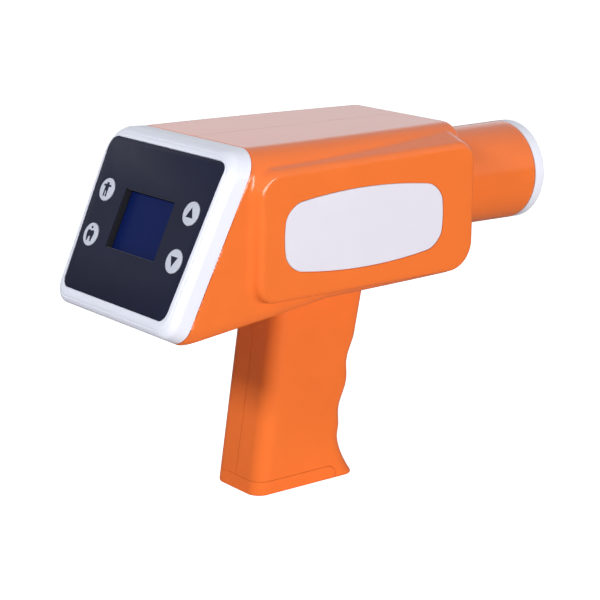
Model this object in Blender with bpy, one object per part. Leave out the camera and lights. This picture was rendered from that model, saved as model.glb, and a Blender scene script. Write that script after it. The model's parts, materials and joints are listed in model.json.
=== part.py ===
"""Portable dental x-ray unit: a pistol-shaped housing in two halves round a sealed x-ray head,
with a sloping control panel at the rear, a beam cone at the front and a battery in the grip.

All lengths are in metres. +X is the way the beam leaves, +Z is up, and the origin is in the
middle of the flat foot of the grip. Panel pieces are drawn in the panel's own axes: u to the
right as the user sees it (-Y), v up the slope, n straight out of the panel towards the user.
"""

import math

import bmesh
import bpy
from mathutils import Matrix, Vector

# Common values
WALL = 0.0026
SEAT_GAP = 0.0003
RUNNING_GAP = 0.0004
CUT_OVERRUN = 0.003
STEP = 0.0001
CORNER_STEPS = 4
ROUND_STEPS = 32
KEY_ROUND_STEPS = 24
SMALL_ROUND_STEPS = 12
SMOOTH_ANGLE = math.radians(35)

# Control panel
PANEL_TILT = math.radians(24.9)
PANEL_FOOT_X = -0.1061
PANEL_FOOT_Z = 0.1120
OVERLAY_HEIGHT = 0.0803
OVERLAY_TOP_WIDTH = 0.0990
OVERLAY_BOTTOM_WIDTH = 0.0910
OVERLAY_CORNER_RADIUS = 0.0055
OVERLAY_THICKNESS = 0.0008

# Bezel round the panel
BEZEL_TOP_MARGIN = 0.0056
BEZEL_BOTTOM_MARGIN = 0.0075
BEZEL_TOP_SIDE_MARGIN = 0.0051
BEZEL_BOTTOM_SIDE_MARGIN = 0.0060
BEZEL_TOP_CORNER_RADIUS = 0.0138
BEZEL_BOTTOM_CORNER_RADIUS = 0.0090
BEZEL_EDGE_RADIUS = 0.0050
BEZEL_DEPTH = 0.0117
BEZEL_PLATE_THICKNESS = 0.0025
BEZEL_LIP_LENGTH = 0.0040
BEZEL_LIP_INSET = 0.0052
BEZEL_LIP_THICKNESS = 0.0018

# Keys and display, as seen on the panel
KEY_RADIUS = 0.0060
KEY_PROUD = 0.0007
KEY_FLANGE_RADIUS = 0.0074
KEY_FLANGE_THICKNESS = 0.0010
KEY_STEM_RADIUS = 0.0016
KEY_TRAVEL = 0.0006
KEY_LEFT_MARGIN = 0.0109
KEY_RIGHT_MARGIN = 0.0105
KEY_UPPER_V = 0.0527
KEY_LOWER_V = 0.0288
SWITCH_BODY_SIDE = 0.0062
SWITCH_BODY_HEIGHT = 0.0035
SWITCH_PLUNGER_RADIUS = 0.0017
SWITCH_PLUNGER_HEIGHT = 0.0008
DISPLAY_WIDTH = 0.0427
DISPLAY_HEIGHT = 0.0310
DISPLAY_CENTRE_U = 0.0002
DISPLAY_CENTRE_V = 0.0407
DISPLAY_LAP = 0.0020
DISPLAY_CORNER_RADIUS = 0.0008
WINDOW_THICKNESS = 0.0010
MODULE_EDGE_RADIUS = 0.0006

# Control board behind the panel
BOARD_THICKNESS = 0.0016
CONTROL_BOARD_SIDE_MARGIN = 0.0035
CONTROL_BOARD_LOW_V = 0.0070
CONTROL_BOARD_HIGH_V = 0.0740
CONTROL_BOARD_CORNER_RADIUS = 0.0020
BOARD_SCREW_INSET = 0.0045
BOARD_BOSS_RADIUS = 0.0030
BOARD_SCREW_RADIUS = 0.0011
BOARD_SCREW_HEAD_RADIUS = 0.0024
BOARD_SCREW_HEAD_HEIGHT = 0.0016
BOARD_SCREW_LENGTH = 0.0060
BUZZER_RADIUS = 0.0060
BUZZER_HEIGHT = 0.0055
BUZZER_HOLE_RADIUS = 0.0012
BUZZER_U = 0.0130
BUZZER_V = 0.0672

# Housing
ROOF_Z = 0.1892
FLOOR_Z = 0.1100
FLOOR_SLOPE_SHARE = 0.12
FLOOR_LEVEL_X = -0.0080
BODY_FRONT_X = 0.0800
BODY_REAR_WIDTH = 0.1084
BODY_FRONT_WIDTH = 0.0960
BODY_TAPER_START_X = -0.0400
BODY_FLOOR_NARROWING = 0.0052
BODY_TAPER_POWER_SHARE = 1.6
BODY_SECTION_SHARES = (0.015, 0.04, 0.08, 0.16, 0.26, 0.36, 0.46, 0.56, 0.66, 0.76, 0.86)
ROOF_EDGE_RADIUS_REAR = 0.0140
ROOF_EDGE_RADIUS_FRONT = 0.0138
FLOOR_EDGE_RADIUS = 0.0075
FRONT_EDGE_RADIUS = 0.0034
FLOOR_EASE_LENGTH = 0.0110
FLOOR_EASE_DEPTH = 0.0022
SPLIT_HALF_GAP = 0.00015

# Raised pod on each side
POD_PROUD = 0.0038
POD_REAR_X = -0.0588
POD_FRONT_X = 0.0794
POD_FLOOR_Z = 0.1148
POD_ROOF_REAR_Z = 0.1786
POD_ROOF_FRONT_Z = 0.1811
POD_REAR_RADIUS = 0.0110
POD_FRONT_ROOF_RADIUS = 0.0100
POD_FRONT_FLOOR_RADIUS = 0.0150
POD_EDGE_RADIUS = 0.0026
POD_SHOULDER_SLOPE_SHARE = 0.35
POD_UNDERSIDE_SLOPE_SHARE = 0.08
POD_REAR_SLOPE_SHARE = 0.25
POD_REAR_SLOPE_DEPTH = 0.0060
POD_DEPTH = 0.0200

# Plates in the pods
LABEL_REAR_X = -0.0420
LABEL_FRONT_X = 0.0552
LABEL_FLOOR_Z = 0.1300
LABEL_ROOF_Z = 0.1618
LABEL_CORNER_RADIUS = 0.0082
LABEL_BULGE = 0.0042
LABEL_END_BULGE = 0.0022
LABEL_THICKNESS = 0.0008
LABEL_PROUD = 0.0002
BULGE_STEPS = 8

# Grip
GRIP_REAR_X = -0.0321
GRIP_REAR_SLOPE_SHARE = 0.147
GRIP_FRONT_X = 0.0212
GRIP_FRONT_SLOPE_SHARE = 0.20
GRIP_WIDTH = 0.0380
GRIP_CORNER_RADIUS = 0.0082
GRIP_TOP_Z = 0.1250
FINGER_PITCH = 0.0260
FINGER_DEPTH = 0.0022
FINGER_LOW_Z = 0.0260
FINGER_GROOVES = 2
GROOVE_STEPS = 5
TOE_LENGTH = 0.0150
TOE_HEIGHT = 0.0240
TOE_POWER_SHARE = 1.5
TOE_STEPS = 4
FOOT_EDGE_RADIUS = 0.0012
FOOT_EDGE_STEPS = 2
GRIP_CORNER_STEPS = 4

# Battery cap, hinged at the toe
CAP_HEIGHT = 0.0076
CAP_HINGE_X = 0.0155
CAP_HINGE_Z = 0.0022
CAP_PIN_RADIUS = 0.0010
CAP_PIN_LENGTH = 0.0290
CAP_FLOOR = 0.0024
CAP_HOLLOW_FRONT_X = 0.0060
EAR_INNER_Y = 0.0085
EAR_THICKNESS = 0.0035
EAR_REAR_REACH = 0.0024
EAR_FLOOR_Z = 0.0004
EAR_ROOF_Z = 0.0046
EAR_SLOT_REACH = 0.0056

# Exposure trigger, its spring and its switch
TRIGGER_HEIGHT = 0.0170
TRIGGER_WIDTH = 0.0130
TRIGGER_EDGE = 0.0018
TRIGGER_TIP_X = 0.0452
TRIGGER_TIP_HOLLOW = 0.0022
TRIGGER_FLANGE_X = 0.0315
TRIGGER_FLANGE_THICKNESS = 0.0020
TRIGGER_FLANGE_LAP = 0.0018
TRIGGER_POST_RADIUS = 0.0022
TRIGGER_TRAVEL = 0.0028
SPRING_COIL_RADIUS = 0.0034
SPRING_WIRE_RADIUS = 0.0004
SPRING_TURNS = 4
SPRING_TURN_STEPS = 10
SPRING_WIRE_STEPS = 6
TRIGGER_SWITCH_LENGTH = 0.0150
TRIGGER_SWITCH_HEIGHT = 0.0104
TRIGGER_SWITCH_WIDTH = 0.0098
TRIGGER_SWITCH_FRONT_X = 0.0245
TRIGGER_PLUNGER_RADIUS = 0.0015
TRIGGER_PLUNGER_LENGTH = 0.0004

# Battery in the grip
BATTERY_FLOOR_Z = 0.0080
BATTERY_HEIGHT = 0.0600
BATTERY_DEPTH = 0.0370
BATTERY_WIDTH = 0.0290
BATTERY_CORNER_RADIUS = 0.0060
BATTERY_REAR_GAP = 0.0010
CONTACT_BLOCK_DEPTH = 0.0225
CONTACT_BLOCK_WIDTH = 0.0220
CONTACT_BLOCK_HEIGHT = 0.0060
GRIP_RIB_THICKNESS = 0.0024
GRIP_RIB_CLEARANCE = 0.0012

# X-ray head
BEAM_Z = 0.1505
TANK_REAR_X = 0.0060
TANK_FRONT_X = 0.0700
TANK_WIDTH = 0.0660
TANK_FLOOR_Z = 0.1280
TANK_ROOF_Z = 0.1770
TANK_WALL = 0.0025
TANK_CORNER_RADIUS = 0.0030
TANK_LID_THICKNESS = 0.0025
TANK_BOSS_RADIUS = 0.0036
LID_SCREW_RADIUS = 0.0012
LID_SCREW_HEAD_RADIUS = 0.0022
LID_SCREW_HEAD_HEIGHT = 0.0014
LID_SCREW_LENGTH = 0.0070
PORT_RADIUS = 0.0110
FILTER_RADIUS = 0.0140
FILTER_THICKNESS = 0.0010
COLLIMATOR_BORE_RADIUS = 0.0090
COLLIMATOR_FRONT_X = 0.0790
TUBE_X = 0.0530
TUBE_RADIUS = 0.0105
TUBE_LENGTH = 0.0360
TUBE_NECK_RADIUS = 0.0050
TUBE_WALL = 0.0012
ANODE_LENGTH = 0.0150
HOLDER_THICKNESS = 0.0040
HOLDER_RADIUS = 0.0090
CORE_REAR_X = 0.0170
CORE_DEPTH = 0.0160
CORE_WIDTH = 0.0400
CORE_HEIGHT = 0.0360
CORE_LIMB = 0.0080
WINDING_WALL = 0.0040
MULTIPLIER_X = 0.0390
MULTIPLIER_WIDTH = 0.0560
MULTIPLIER_HEIGHT = 0.0400

# Inverter board on the back of the head
DRIVER_STANDOFF = 0.0060
DRIVER_BOARD_WIDTH = 0.0600
DRIVER_BOARD_HEIGHT = 0.0300
DRIVER_SCREW_INSET = 0.0050
HEAT_SINK_SIDE_MARGIN = 0.0110
HEAT_SINK_END_MARGIN = 0.0030
HEAT_SINK_BASE = 0.0030
HEAT_SINK_FIN_LENGTH = 0.0110
HEAT_SINK_FIN_THICKNESS = 0.0016
HEAT_SINK_FINS = 6

# Beam cone and its end ring
CONE_ROOT_RADIUS = 0.0266
CONE_END_RADIUS = 0.0274
CONE_WALL = 0.0028
CONE_END_X = 0.1544
CONE_FLANGE_RADIUS = 0.0282
CONE_FLANGE_THICKNESS = 0.0024
CONE_RIB_THICKNESS = 0.0020
RING_RADIUS = 0.0274
RING_BORE_RADIUS = 0.0212
RING_EDGE_RADIUS = 0.0018
RING_INNER_EDGE_RADIUS = 0.0012
RING_END_X = 0.1620
RING_SPIGOT_LENGTH = 0.0050

# Ribs that hold the head, and the screws that close the housing
HEAD_RIB_REAR_X = 0.0140
HEAD_RIB_FRONT_X = 0.0580
HEAD_RIB_THICKNESS = 0.0024
HOUSING_BOSS_RADIUS = 0.0044
HOUSING_SCREW_RADIUS = 0.0014
HOUSING_SCREW_HEAD_RADIUS = 0.0024
HOUSING_SCREW_HEAD_HEIGHT = 0.0020
HOUSING_SCREW_LENGTH = 0.0120
HOUSING_SCREW_SEAT_Y = 0.0050
SCREW_HEAD_TAPER_SHARE = 0.80
POD_REAR_SCREW_X = -0.0460
POD_REAR_SCREW_Z = 0.1695
POD_ROOF_SCREW_X = 0.0010
POD_ROOF_SCREW_Z = 0.1720
POD_FLOOR_SCREW_X = 0.0400
POD_FLOOR_SCREW_Z = 0.1234
REAR_SCREW_X = -0.0800
REAR_SCREW_Z = 0.1130
GRIP_SCREW_X = -0.0045
TOE_SCREW_X = 0.0188
TOE_SCREW_Z = 0.0128

# Charging inlet on the left side
SOCKET_X = -0.0740
SOCKET_Z = 0.1280
SOCKET_RADIUS = 0.0042
SOCKET_FLANGE_RADIUS = 0.0062
SOCKET_FLANGE_THICKNESS = 0.0015
SOCKET_LENGTH = 0.0100
SOCKET_BORE_RADIUS = 0.0029
SOCKET_BORE_DEPTH = 0.0080
SOCKET_PIN_RADIUS = 0.0010

# Leads
LEAD_RADIUS = 0.0012
LEAD_X = 0.0028
LEAD_STEPS = 16
RIBBON_WIDTH = 0.0160
RIBBON_THICKNESS = 0.0008
RIBBON_V = 0.0240
RIBBON_RISE = 0.0015
RIBBON_STEPS = 12


# Scene, materials and basic shapes


def clear_scene():
    for existing in list(bpy.data.objects):
        bpy.data.objects.remove(existing, do_unlink=True)


def material(name, colour, roughness, metallic=0.0, alpha=1.0):
    made = bpy.data.materials.new(name)
    made.use_nodes = True
    shader = made.node_tree.nodes["Principled BSDF"]
    shader.inputs["Base Color"].default_value = (*colour, 1.0)
    shader.inputs["Roughness"].default_value = roughness
    shader.inputs["Metallic"].default_value = metallic
    shader.inputs["Alpha"].default_value = alpha
    made.diffuse_color = (*colour, alpha)
    return made


def add_object(name, shape, finish, parent=None, cutter=False):
    """Turns a bmesh into a named object, shaded smooth except at its sharp edges."""
    mesh = bpy.data.meshes.new(name)
    bmesh.ops.recalc_face_normals(shape, faces=shape.faces)
    shape.to_mesh(mesh)
    shape.free()
    mesh.shade_smooth()
    mesh.set_sharp_from_angle(angle=SMOOTH_ANGLE)
    if finish:
        mesh.materials.append(finish)
    made = bpy.data.objects.new(name, mesh)
    bpy.context.scene.collection.objects.link(made)
    made.parent = parent
    if cutter:
        made.hide_render = True
        made.display_type = "WIRE"
    return made


def move_origin(made, point):
    """Puts an object's origin on its joint, with its shape left in place."""
    made.data.transform(Matrix.Translation(-Vector(point)))
    made.location = point


def boolean(target, other, operation):
    step = target.modifiers.new(operation.lower() + "_" + other.name, "BOOLEAN")
    step.operation = operation
    step.solver = "EXACT"
    step.object = other
    return step


def cut(target, name, shape, parent=None):
    """Cuts a bmesh shape away from the target, by way of a hidden cutter."""
    boolean(target, add_object(name, shape, None, parent, cutter=True), "DIFFERENCE")


def join(target, name, shape, parent=None):
    boolean(target, add_object(name, shape, None, parent, cutter=True), "UNION")


def loft(rings):
    """A closed bmesh through rings that all have the same number of points."""
    shape = bmesh.new()
    rows = [[shape.verts.new(point) for point in ring] for ring in rings]
    count = len(rows[0])
    for lower, upper in zip(rows, rows[1:]):
        for index in range(count):
            following = (index + 1) % count
            shape.faces.new((lower[index], lower[following], upper[following], upper[index]))
    shape.faces.new(list(reversed(rows[0])))
    shape.faces.new(rows[-1])
    return shape


def disc(radius, start, end, axis_point=(0, 0, 0), axis=(0, 0, 1), steps=ROUND_STEPS):
    """A plain cylinder between two distances along an axis."""
    first = []
    last = []
    for step in range(steps):
        angle = math.tau * step / steps
        first.append((radius * math.cos(angle), radius * math.sin(angle), start))
        last.append((radius * math.cos(angle), radius * math.sin(angle), end))
    shape = loft([first, last])
    turn = Vector((0, 0, 1)).rotation_difference(Vector(axis)).to_matrix().to_4x4()
    bmesh.ops.transform(shape, matrix=Matrix.Translation(axis_point) @ turn, verts=shape.verts)
    return shape


def box(low, high):
    rings = []
    for z in (low[2], high[2]):
        rings.append([(low[0], low[1], z), (high[0], low[1], z), (high[0], high[1], z), (low[0], high[1], z)])
    return loft(rings)


def rounded_polygon(corners, radii, steps=CORNER_STEPS):
    """Points round a convex polygon whose corners are arcs of the given radii."""
    points = []
    count = len(corners)
    for index, radius in enumerate(radii):
        corner = Vector(corners[index])
        back = (Vector(corners[index - 1]) - corner).normalized()
        ahead = (Vector(corners[(index + 1) % count]) - corner).normalized()
        half_angle = back.angle(ahead) / 2
        centre = corner + (back + ahead).normalized() * (radius / math.sin(half_angle))
        start = corner + back * (radius / math.tan(half_angle)) - centre
        sweep = math.pi - 2 * half_angle
        turn_sign = 1 if back.cross(ahead) < 0 else -1
        for step in range(steps + 1):
            angle = turn_sign * sweep * step / steps
            turned_start = Matrix.Rotation(angle, 2) @ start
            points.append(tuple(centre + turned_start))
    return points


def rectangle(low_a, low_b, high_a, high_b):
    return [(low_a, low_b), (high_a, low_b), (high_a, high_b), (low_a, high_b)]


def tube_along(path, radius, steps):
    """A closed bmesh of round section along a line of points that never runs along Y."""
    points = [Vector(point) for point in path]
    rings = []
    for index, point in enumerate(points):
        ahead = points[min(index + 1, len(points) - 1)]
        along = (ahead - points[max(index - 1, 0)]).normalized()
        across = along.cross(Vector((0, 1, 0))).normalized()
        over = along.cross(across)
        ring = []
        for step in range(steps):
            angle = math.tau * step / steps
            ring.append(point + radius * (math.cos(angle) * across + math.sin(angle) * over))
        rings.append(ring)
    return loft(rings)


def prism(outline, place, low, high):
    """Extrudes a flat outline: place turns (a, b, distance) into a point."""
    return loft([[place(a, b, level) for a, b in outline] for level in (low, high)])


def along_x(a, b, level):
    return (level, a, b)


def along_y(a, b, level):
    return (a, level, b)


def along_z(a, b, level):
    return (a, b, level)


def edge_ease(distance, length, depth):
    """How far a face is drawn in near an end, along a quarter ellipse."""
    if distance >= length:
        return 0.0
    return depth * (1 - math.sqrt(1 - (1 - distance / length) ** 2))


# Body of the housing


def panel_point(v, depth):
    """(x, z) of a place on the panel's slope, a depth behind its face."""
    x = PANEL_FOOT_X + v * math.sin(PANEL_TILT) + depth * math.cos(PANEL_TILT)
    z = PANEL_FOOT_Z + v * math.cos(PANEL_TILT) - depth * math.sin(PANEL_TILT)
    return x, z


def rear_face_x(z):
    """The housing's slanted rear face, against the back of the bezel."""
    depth = BEZEL_DEPTH + SEAT_GAP
    return PANEL_FOOT_X + (depth + (z - PANEL_FOOT_Z) * math.sin(PANEL_TILT)) / math.cos(PANEL_TILT)


def body_half_width(x):
    span = BODY_FRONT_X - BODY_TAPER_START_X
    share = min(max((x - BODY_TAPER_START_X) / span, 0), 1)
    drawn_in = (BODY_REAR_WIDTH - BODY_FRONT_WIDTH) * share**BODY_TAPER_POWER_SHARE
    return (BODY_REAR_WIDTH - drawn_in) / 2


def pod_face_y():
    """The pod's face stands proud of the widest part of the body."""
    return max(BODY_REAR_WIDTH, BODY_FRONT_WIDTH) / 2 + POD_PROUD


def body_floor_z(x):
    return FLOOR_Z + FLOOR_SLOPE_SHARE * min(x, FLOOR_LEVEL_X)


def body_ring(share, inset, end_inset=0.0):
    """One section of the body. Share 0 is the slanted rear face and share 1 the upright front."""
    bezel_foot_x = panel_point(-BEZEL_BOTTOM_MARGIN, BEZEL_DEPTH + SEAT_GAP)[0]
    rear_foot_x = rear_face_x(body_floor_z(bezel_foot_x) + FLOOR_EASE_DEPTH)
    rear_head_x = rear_face_x(ROOF_Z)
    foot_x = rear_foot_x + share * (BODY_FRONT_X - rear_foot_x)
    head_x = rear_head_x + share * (BODY_FRONT_X - rear_head_x)
    foot_ease = edge_ease(max(foot_x - rear_foot_x, 0), FLOOR_EASE_LENGTH, FLOOR_EASE_DEPTH)
    drawn_in = inset + end_inset
    foot_z = body_floor_z(foot_x) + foot_ease + drawn_in
    head_z = ROOF_Z - drawn_in
    head_half = body_half_width(head_x) - drawn_in
    foot_half = body_half_width(foot_x) - BODY_FLOOR_NARROWING / 2 - drawn_in
    front_share = min(max(share, 0), 1)
    roof_radius = ROOF_EDGE_RADIUS_REAR + front_share * (ROOF_EDGE_RADIUS_FRONT - ROOF_EDGE_RADIUS_REAR)
    roof_radius = max(roof_radius - drawn_in, WALL)
    floor_radius = max(FLOOR_EDGE_RADIUS - drawn_in, WALL)
    slope_length = math.hypot(head_x - foot_x, head_z - foot_z)
    corners = [(-foot_half, 0), (foot_half, 0), (head_half, slope_length), (-head_half, slope_length)]
    outline = rounded_polygon(corners, [floor_radius, floor_radius, roof_radius, roof_radius])
    ring = []
    for y, up in outline:
        rise = up / slope_length
        ring.append((foot_x + rise * (head_x - foot_x), y, foot_z + rise * (head_z - foot_z)))
    return ring


def body_loft(inset=0.0):
    rear_length = BODY_FRONT_X - panel_point(0, 0)[0]
    rear_share = -(CUT_OVERRUN + inset) / rear_length if inset else 0
    rings = [body_ring(share, inset) for share in (rear_share, *BODY_SECTION_SHARES)]
    front_x = BODY_FRONT_X - inset
    radius = max(FRONT_EDGE_RADIUS - inset, WALL)
    for step in range(CORNER_STEPS):
        angle = math.pi / 2 * step / (CORNER_STEPS - 1)
        x = front_x - radius * (1 - math.sin(angle))
        share = 1 - (BODY_FRONT_X - x) / (BODY_FRONT_X - panel_point(0, BEZEL_DEPTH)[0])
        ring = body_ring(share, inset, radius * (1 - math.cos(angle)))
        rings.append([(x, y, z) for _, y, z in ring])
    return loft(rings)


def pod_ring(side, depth, inset, rounding):
    """Outline of the pod a depth inwards from its face, grown by the slope of its flanks."""
    drawn_in = inset + rounding
    roof_growth = POD_SHOULDER_SLOPE_SHARE * depth - drawn_in
    floor_growth = POD_UNDERSIDE_SLOPE_SHARE * depth - drawn_in
    rear_x = POD_REAR_X - POD_REAR_SLOPE_SHARE * min(depth, POD_REAR_SLOPE_DEPTH) + drawn_in
    front_x = POD_FRONT_X - drawn_in
    corners = [
        (rear_x, POD_FLOOR_Z - floor_growth),
        (front_x, POD_FLOOR_Z - floor_growth),
        (front_x, POD_ROOF_FRONT_Z + roof_growth),
        (rear_x, POD_ROOF_REAR_Z + roof_growth),
    ]
    radii = [
        POD_REAR_RADIUS + floor_growth,
        POD_FRONT_FLOOR_RADIUS + floor_growth,
        POD_FRONT_ROOF_RADIUS + roof_growth,
        POD_REAR_RADIUS + roof_growth,
    ]
    outline = rounded_polygon(corners, [max(radius, WALL) for radius in radii])
    y = side * (pod_face_y() - inset - depth)
    return [(x, y, z) for x, z in outline]


def pod_loft(side, inset=0.0):
    radius = max(POD_EDGE_RADIUS - inset, SEAT_GAP)
    rings = []
    for step in range(CORNER_STEPS - 1):
        angle = math.pi / 2 * step / (CORNER_STEPS - 2)
        depth = radius * (1 - math.cos(angle))
        rings.append(pod_ring(side, depth, inset, radius * (1 - math.sin(angle))))
    rings.append(pod_ring(side, POD_REAR_SLOPE_DEPTH, inset, 0))
    rings.append(pod_ring(side, POD_DEPTH - inset, inset, 0))
    return loft(rings)


# Grip


def grip_rear_x(z):
    return GRIP_REAR_X + GRIP_REAR_SLOPE_SHARE * z


def grip_front_x(z):
    """The front of the grip: a leaning line with finger grooves, spread into a toe at the foot."""
    front = GRIP_FRONT_X + GRIP_FRONT_SLOPE_SHARE * z
    grooves = (z - FINGER_LOW_Z) / FINGER_PITCH
    if 0 < grooves < FINGER_GROOVES:
        front -= FINGER_DEPTH * math.sin(math.pi * grooves) ** 2
    return front + TOE_LENGTH * max(1 - z / TOE_HEIGHT, 0) ** TOE_POWER_SHARE


def grip_ring(z, inset, rounding=0.0):
    drawn_in = inset + rounding
    half = GRIP_WIDTH / 2 - drawn_in
    outline = rectangle(grip_rear_x(z) + drawn_in, -half, grip_front_x(z) - drawn_in, half)
    radius = max(GRIP_CORNER_RADIUS - drawn_in, WALL)
    return [(x, y, z) for x, y in rounded_polygon(outline, [radius] * 4, GRIP_CORNER_STEPS)]


def grip_loft(inset=0.0):
    rings = []
    if inset:
        rings.append(grip_ring(CAP_HEIGHT - CUT_OVERRUN / 2, inset))
    else:
        for step in range(FOOT_EDGE_STEPS + 1):
            angle = math.pi / 2 * step / FOOT_EDGE_STEPS
            rounding = FOOT_EDGE_RADIUS * (1 - math.sin(angle))
            rings.append(grip_ring(FOOT_EDGE_RADIUS * (1 - math.cos(angle)), inset, rounding))
        rings.append(grip_ring(CAP_HEIGHT / 2, inset))
    for step in range(TOE_STEPS):
        z = CAP_HEIGHT + (FINGER_LOW_Z - CAP_HEIGHT) * step / TOE_STEPS
        rings.append(grip_ring(z, inset))
    for step in range(FINGER_GROOVES * GROOVE_STEPS + 1):
        rings.append(grip_ring(FINGER_LOW_Z + FINGER_PITCH * step / GROOVE_STEPS, inset))
    rings.append(grip_ring(GRIP_TOP_Z, inset))
    return loft(rings)


def battery_lean():
    return math.atan(GRIP_REAR_SLOPE_SHARE)


def battery_floor():
    """Height of the pack's underside along its own leaning axis: its front edge clears the cap."""
    front = WALL + BATTERY_REAR_GAP + BATTERY_DEPTH
    return (BATTERY_FLOOR_Z + front * math.sin(battery_lean())) / math.cos(battery_lean())


def contact_block_top():
    """Height of the contact block's upper face along the pack's leaning axis."""
    return battery_floor() + BATTERY_HEIGHT + SEAT_GAP + CONTACT_BLOCK_HEIGHT


def grip_rib_floor_z():
    """The rib across the grip clears the highest corner of the contact block."""
    rear = WALL + BATTERY_REAR_GAP + SEAT_GAP
    corner_z = contact_block_top() * math.cos(battery_lean()) - rear * math.sin(battery_lean())
    return corner_z + GRIP_RIB_CLEARANCE


def trigger_z():
    """The trigger's axis is the middle of its switch, which stands on the rib."""
    return grip_rib_floor_z() + GRIP_RIB_THICKNESS + SEAT_GAP + TRIGGER_SWITCH_HEIGHT / 2


def hinge_arc(radius, first_angle):
    """(x, z) points about the cap's hinge, from an angle up to straight above it."""
    points = []
    for step in range(2 * CORNER_STEPS + 1):
        angle = first_angle + (math.pi / 2 - first_angle) * step / (2 * CORNER_STEPS)
        points.append((CAP_HINGE_X + radius * math.cos(angle), CAP_HINGE_Z + radius * math.sin(angle)))
    return points


def cap_outline():
    """Side view of the battery cap: a slab whose front end is round about its hinge."""
    rear_x = GRIP_REAR_X - CUT_OVERRUN
    arc = hinge_arc(CAP_HEIGHT - CAP_HINGE_Z, -math.pi / 2)
    return [(rear_x, arc[0][1])] + arc + [(rear_x, CAP_HEIGHT)]


def cap_space_outline():
    """Side view of the space in the foot of the grip that the cap fills and swings in."""
    rear_x = GRIP_REAR_X - CUT_OVERRUN
    radius = CAP_HEIGHT - CAP_HINGE_Z + RUNNING_GAP
    foot = [(rear_x, -CUT_OVERRUN), (CAP_HINGE_X + radius, -CUT_OVERRUN)]
    return foot + hinge_arc(radius, 0) + [(rear_x, CAP_HEIGHT + RUNNING_GAP)]


# Screws


def housing_screw_places():
    """(x, z) of each screw that closes the housing."""
    return [
        (POD_REAR_SCREW_X, POD_REAR_SCREW_Z),
        (POD_ROOF_SCREW_X, POD_ROOF_SCREW_Z),
        (POD_FLOOR_SCREW_X, POD_FLOOR_SCREW_Z),
        (REAR_SCREW_X, REAR_SCREW_Z),
        (GRIP_SCREW_X, trigger_z()),
        (TOE_SCREW_X, TOE_SCREW_Z),
    ]


def screw_shape(head_radius, head_height, radius, length):
    """A pan-head screw along +Z: the head's underside is at zero, the shank below it."""
    profile = [
        (-length, 0),
        (-length, radius),
        (0, radius),
        (0, head_radius),
        (head_height, head_radius * SCREW_HEAD_TAPER_SHARE),
        (head_height, 0),
    ]
    return turned_solid(profile, SMALL_ROUND_STEPS)


def turned_solid(profile, steps=ROUND_STEPS):
    """A closed bmesh turned about Z from (height, radius) points that start and end on the axis."""
    shape = bmesh.new()
    foot = shape.verts.new((0, 0, profile[0][0]))
    head = shape.verts.new((0, 0, profile[-1][0]))
    rows = []
    for along, radius in profile[1:-1]:
        row = []
        for step in range(steps):
            angle = math.tau * step / steps
            row.append(shape.verts.new((radius * math.cos(angle), radius * math.sin(angle), along)))
        rows.append(row)
    for index in range(steps):
        following = (index + 1) % steps
        shape.faces.new((foot, rows[0][following], rows[0][index]))
        shape.faces.new((head, rows[-1][index], rows[-1][following]))
        for lower, upper in zip(rows, rows[1:]):
            shape.faces.new((lower[index], lower[following], upper[following], upper[index]))
    return shape


def turned_ring(profile, steps=ROUND_STEPS):
    """A closed bmesh turned about Z from a loop of (height, radius) points clear of the axis."""
    shape = bmesh.new()
    rows = []
    for step in range(steps):
        angle = math.tau * step / steps
        across = math.cos(angle)
        over = math.sin(angle)
        rows.append([shape.verts.new((r * across, r * over, along)) for along, r in profile])
    count = len(profile)
    for step in range(steps):
        here = rows[step]
        there = rows[(step + 1) % steps]
        for index in range(count):
            following = (index + 1) % count
            shape.faces.new((here[index], here[following], there[following], there[index]))
    return shape


def point_along(made, direction):
    """Turns an object drawn along +Z to point along another direction."""
    made.rotation_mode = "QUATERNION"
    made.rotation_quaternion = Vector((0, 0, 1)).rotation_difference(Vector(direction))


# Housing halves


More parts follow.
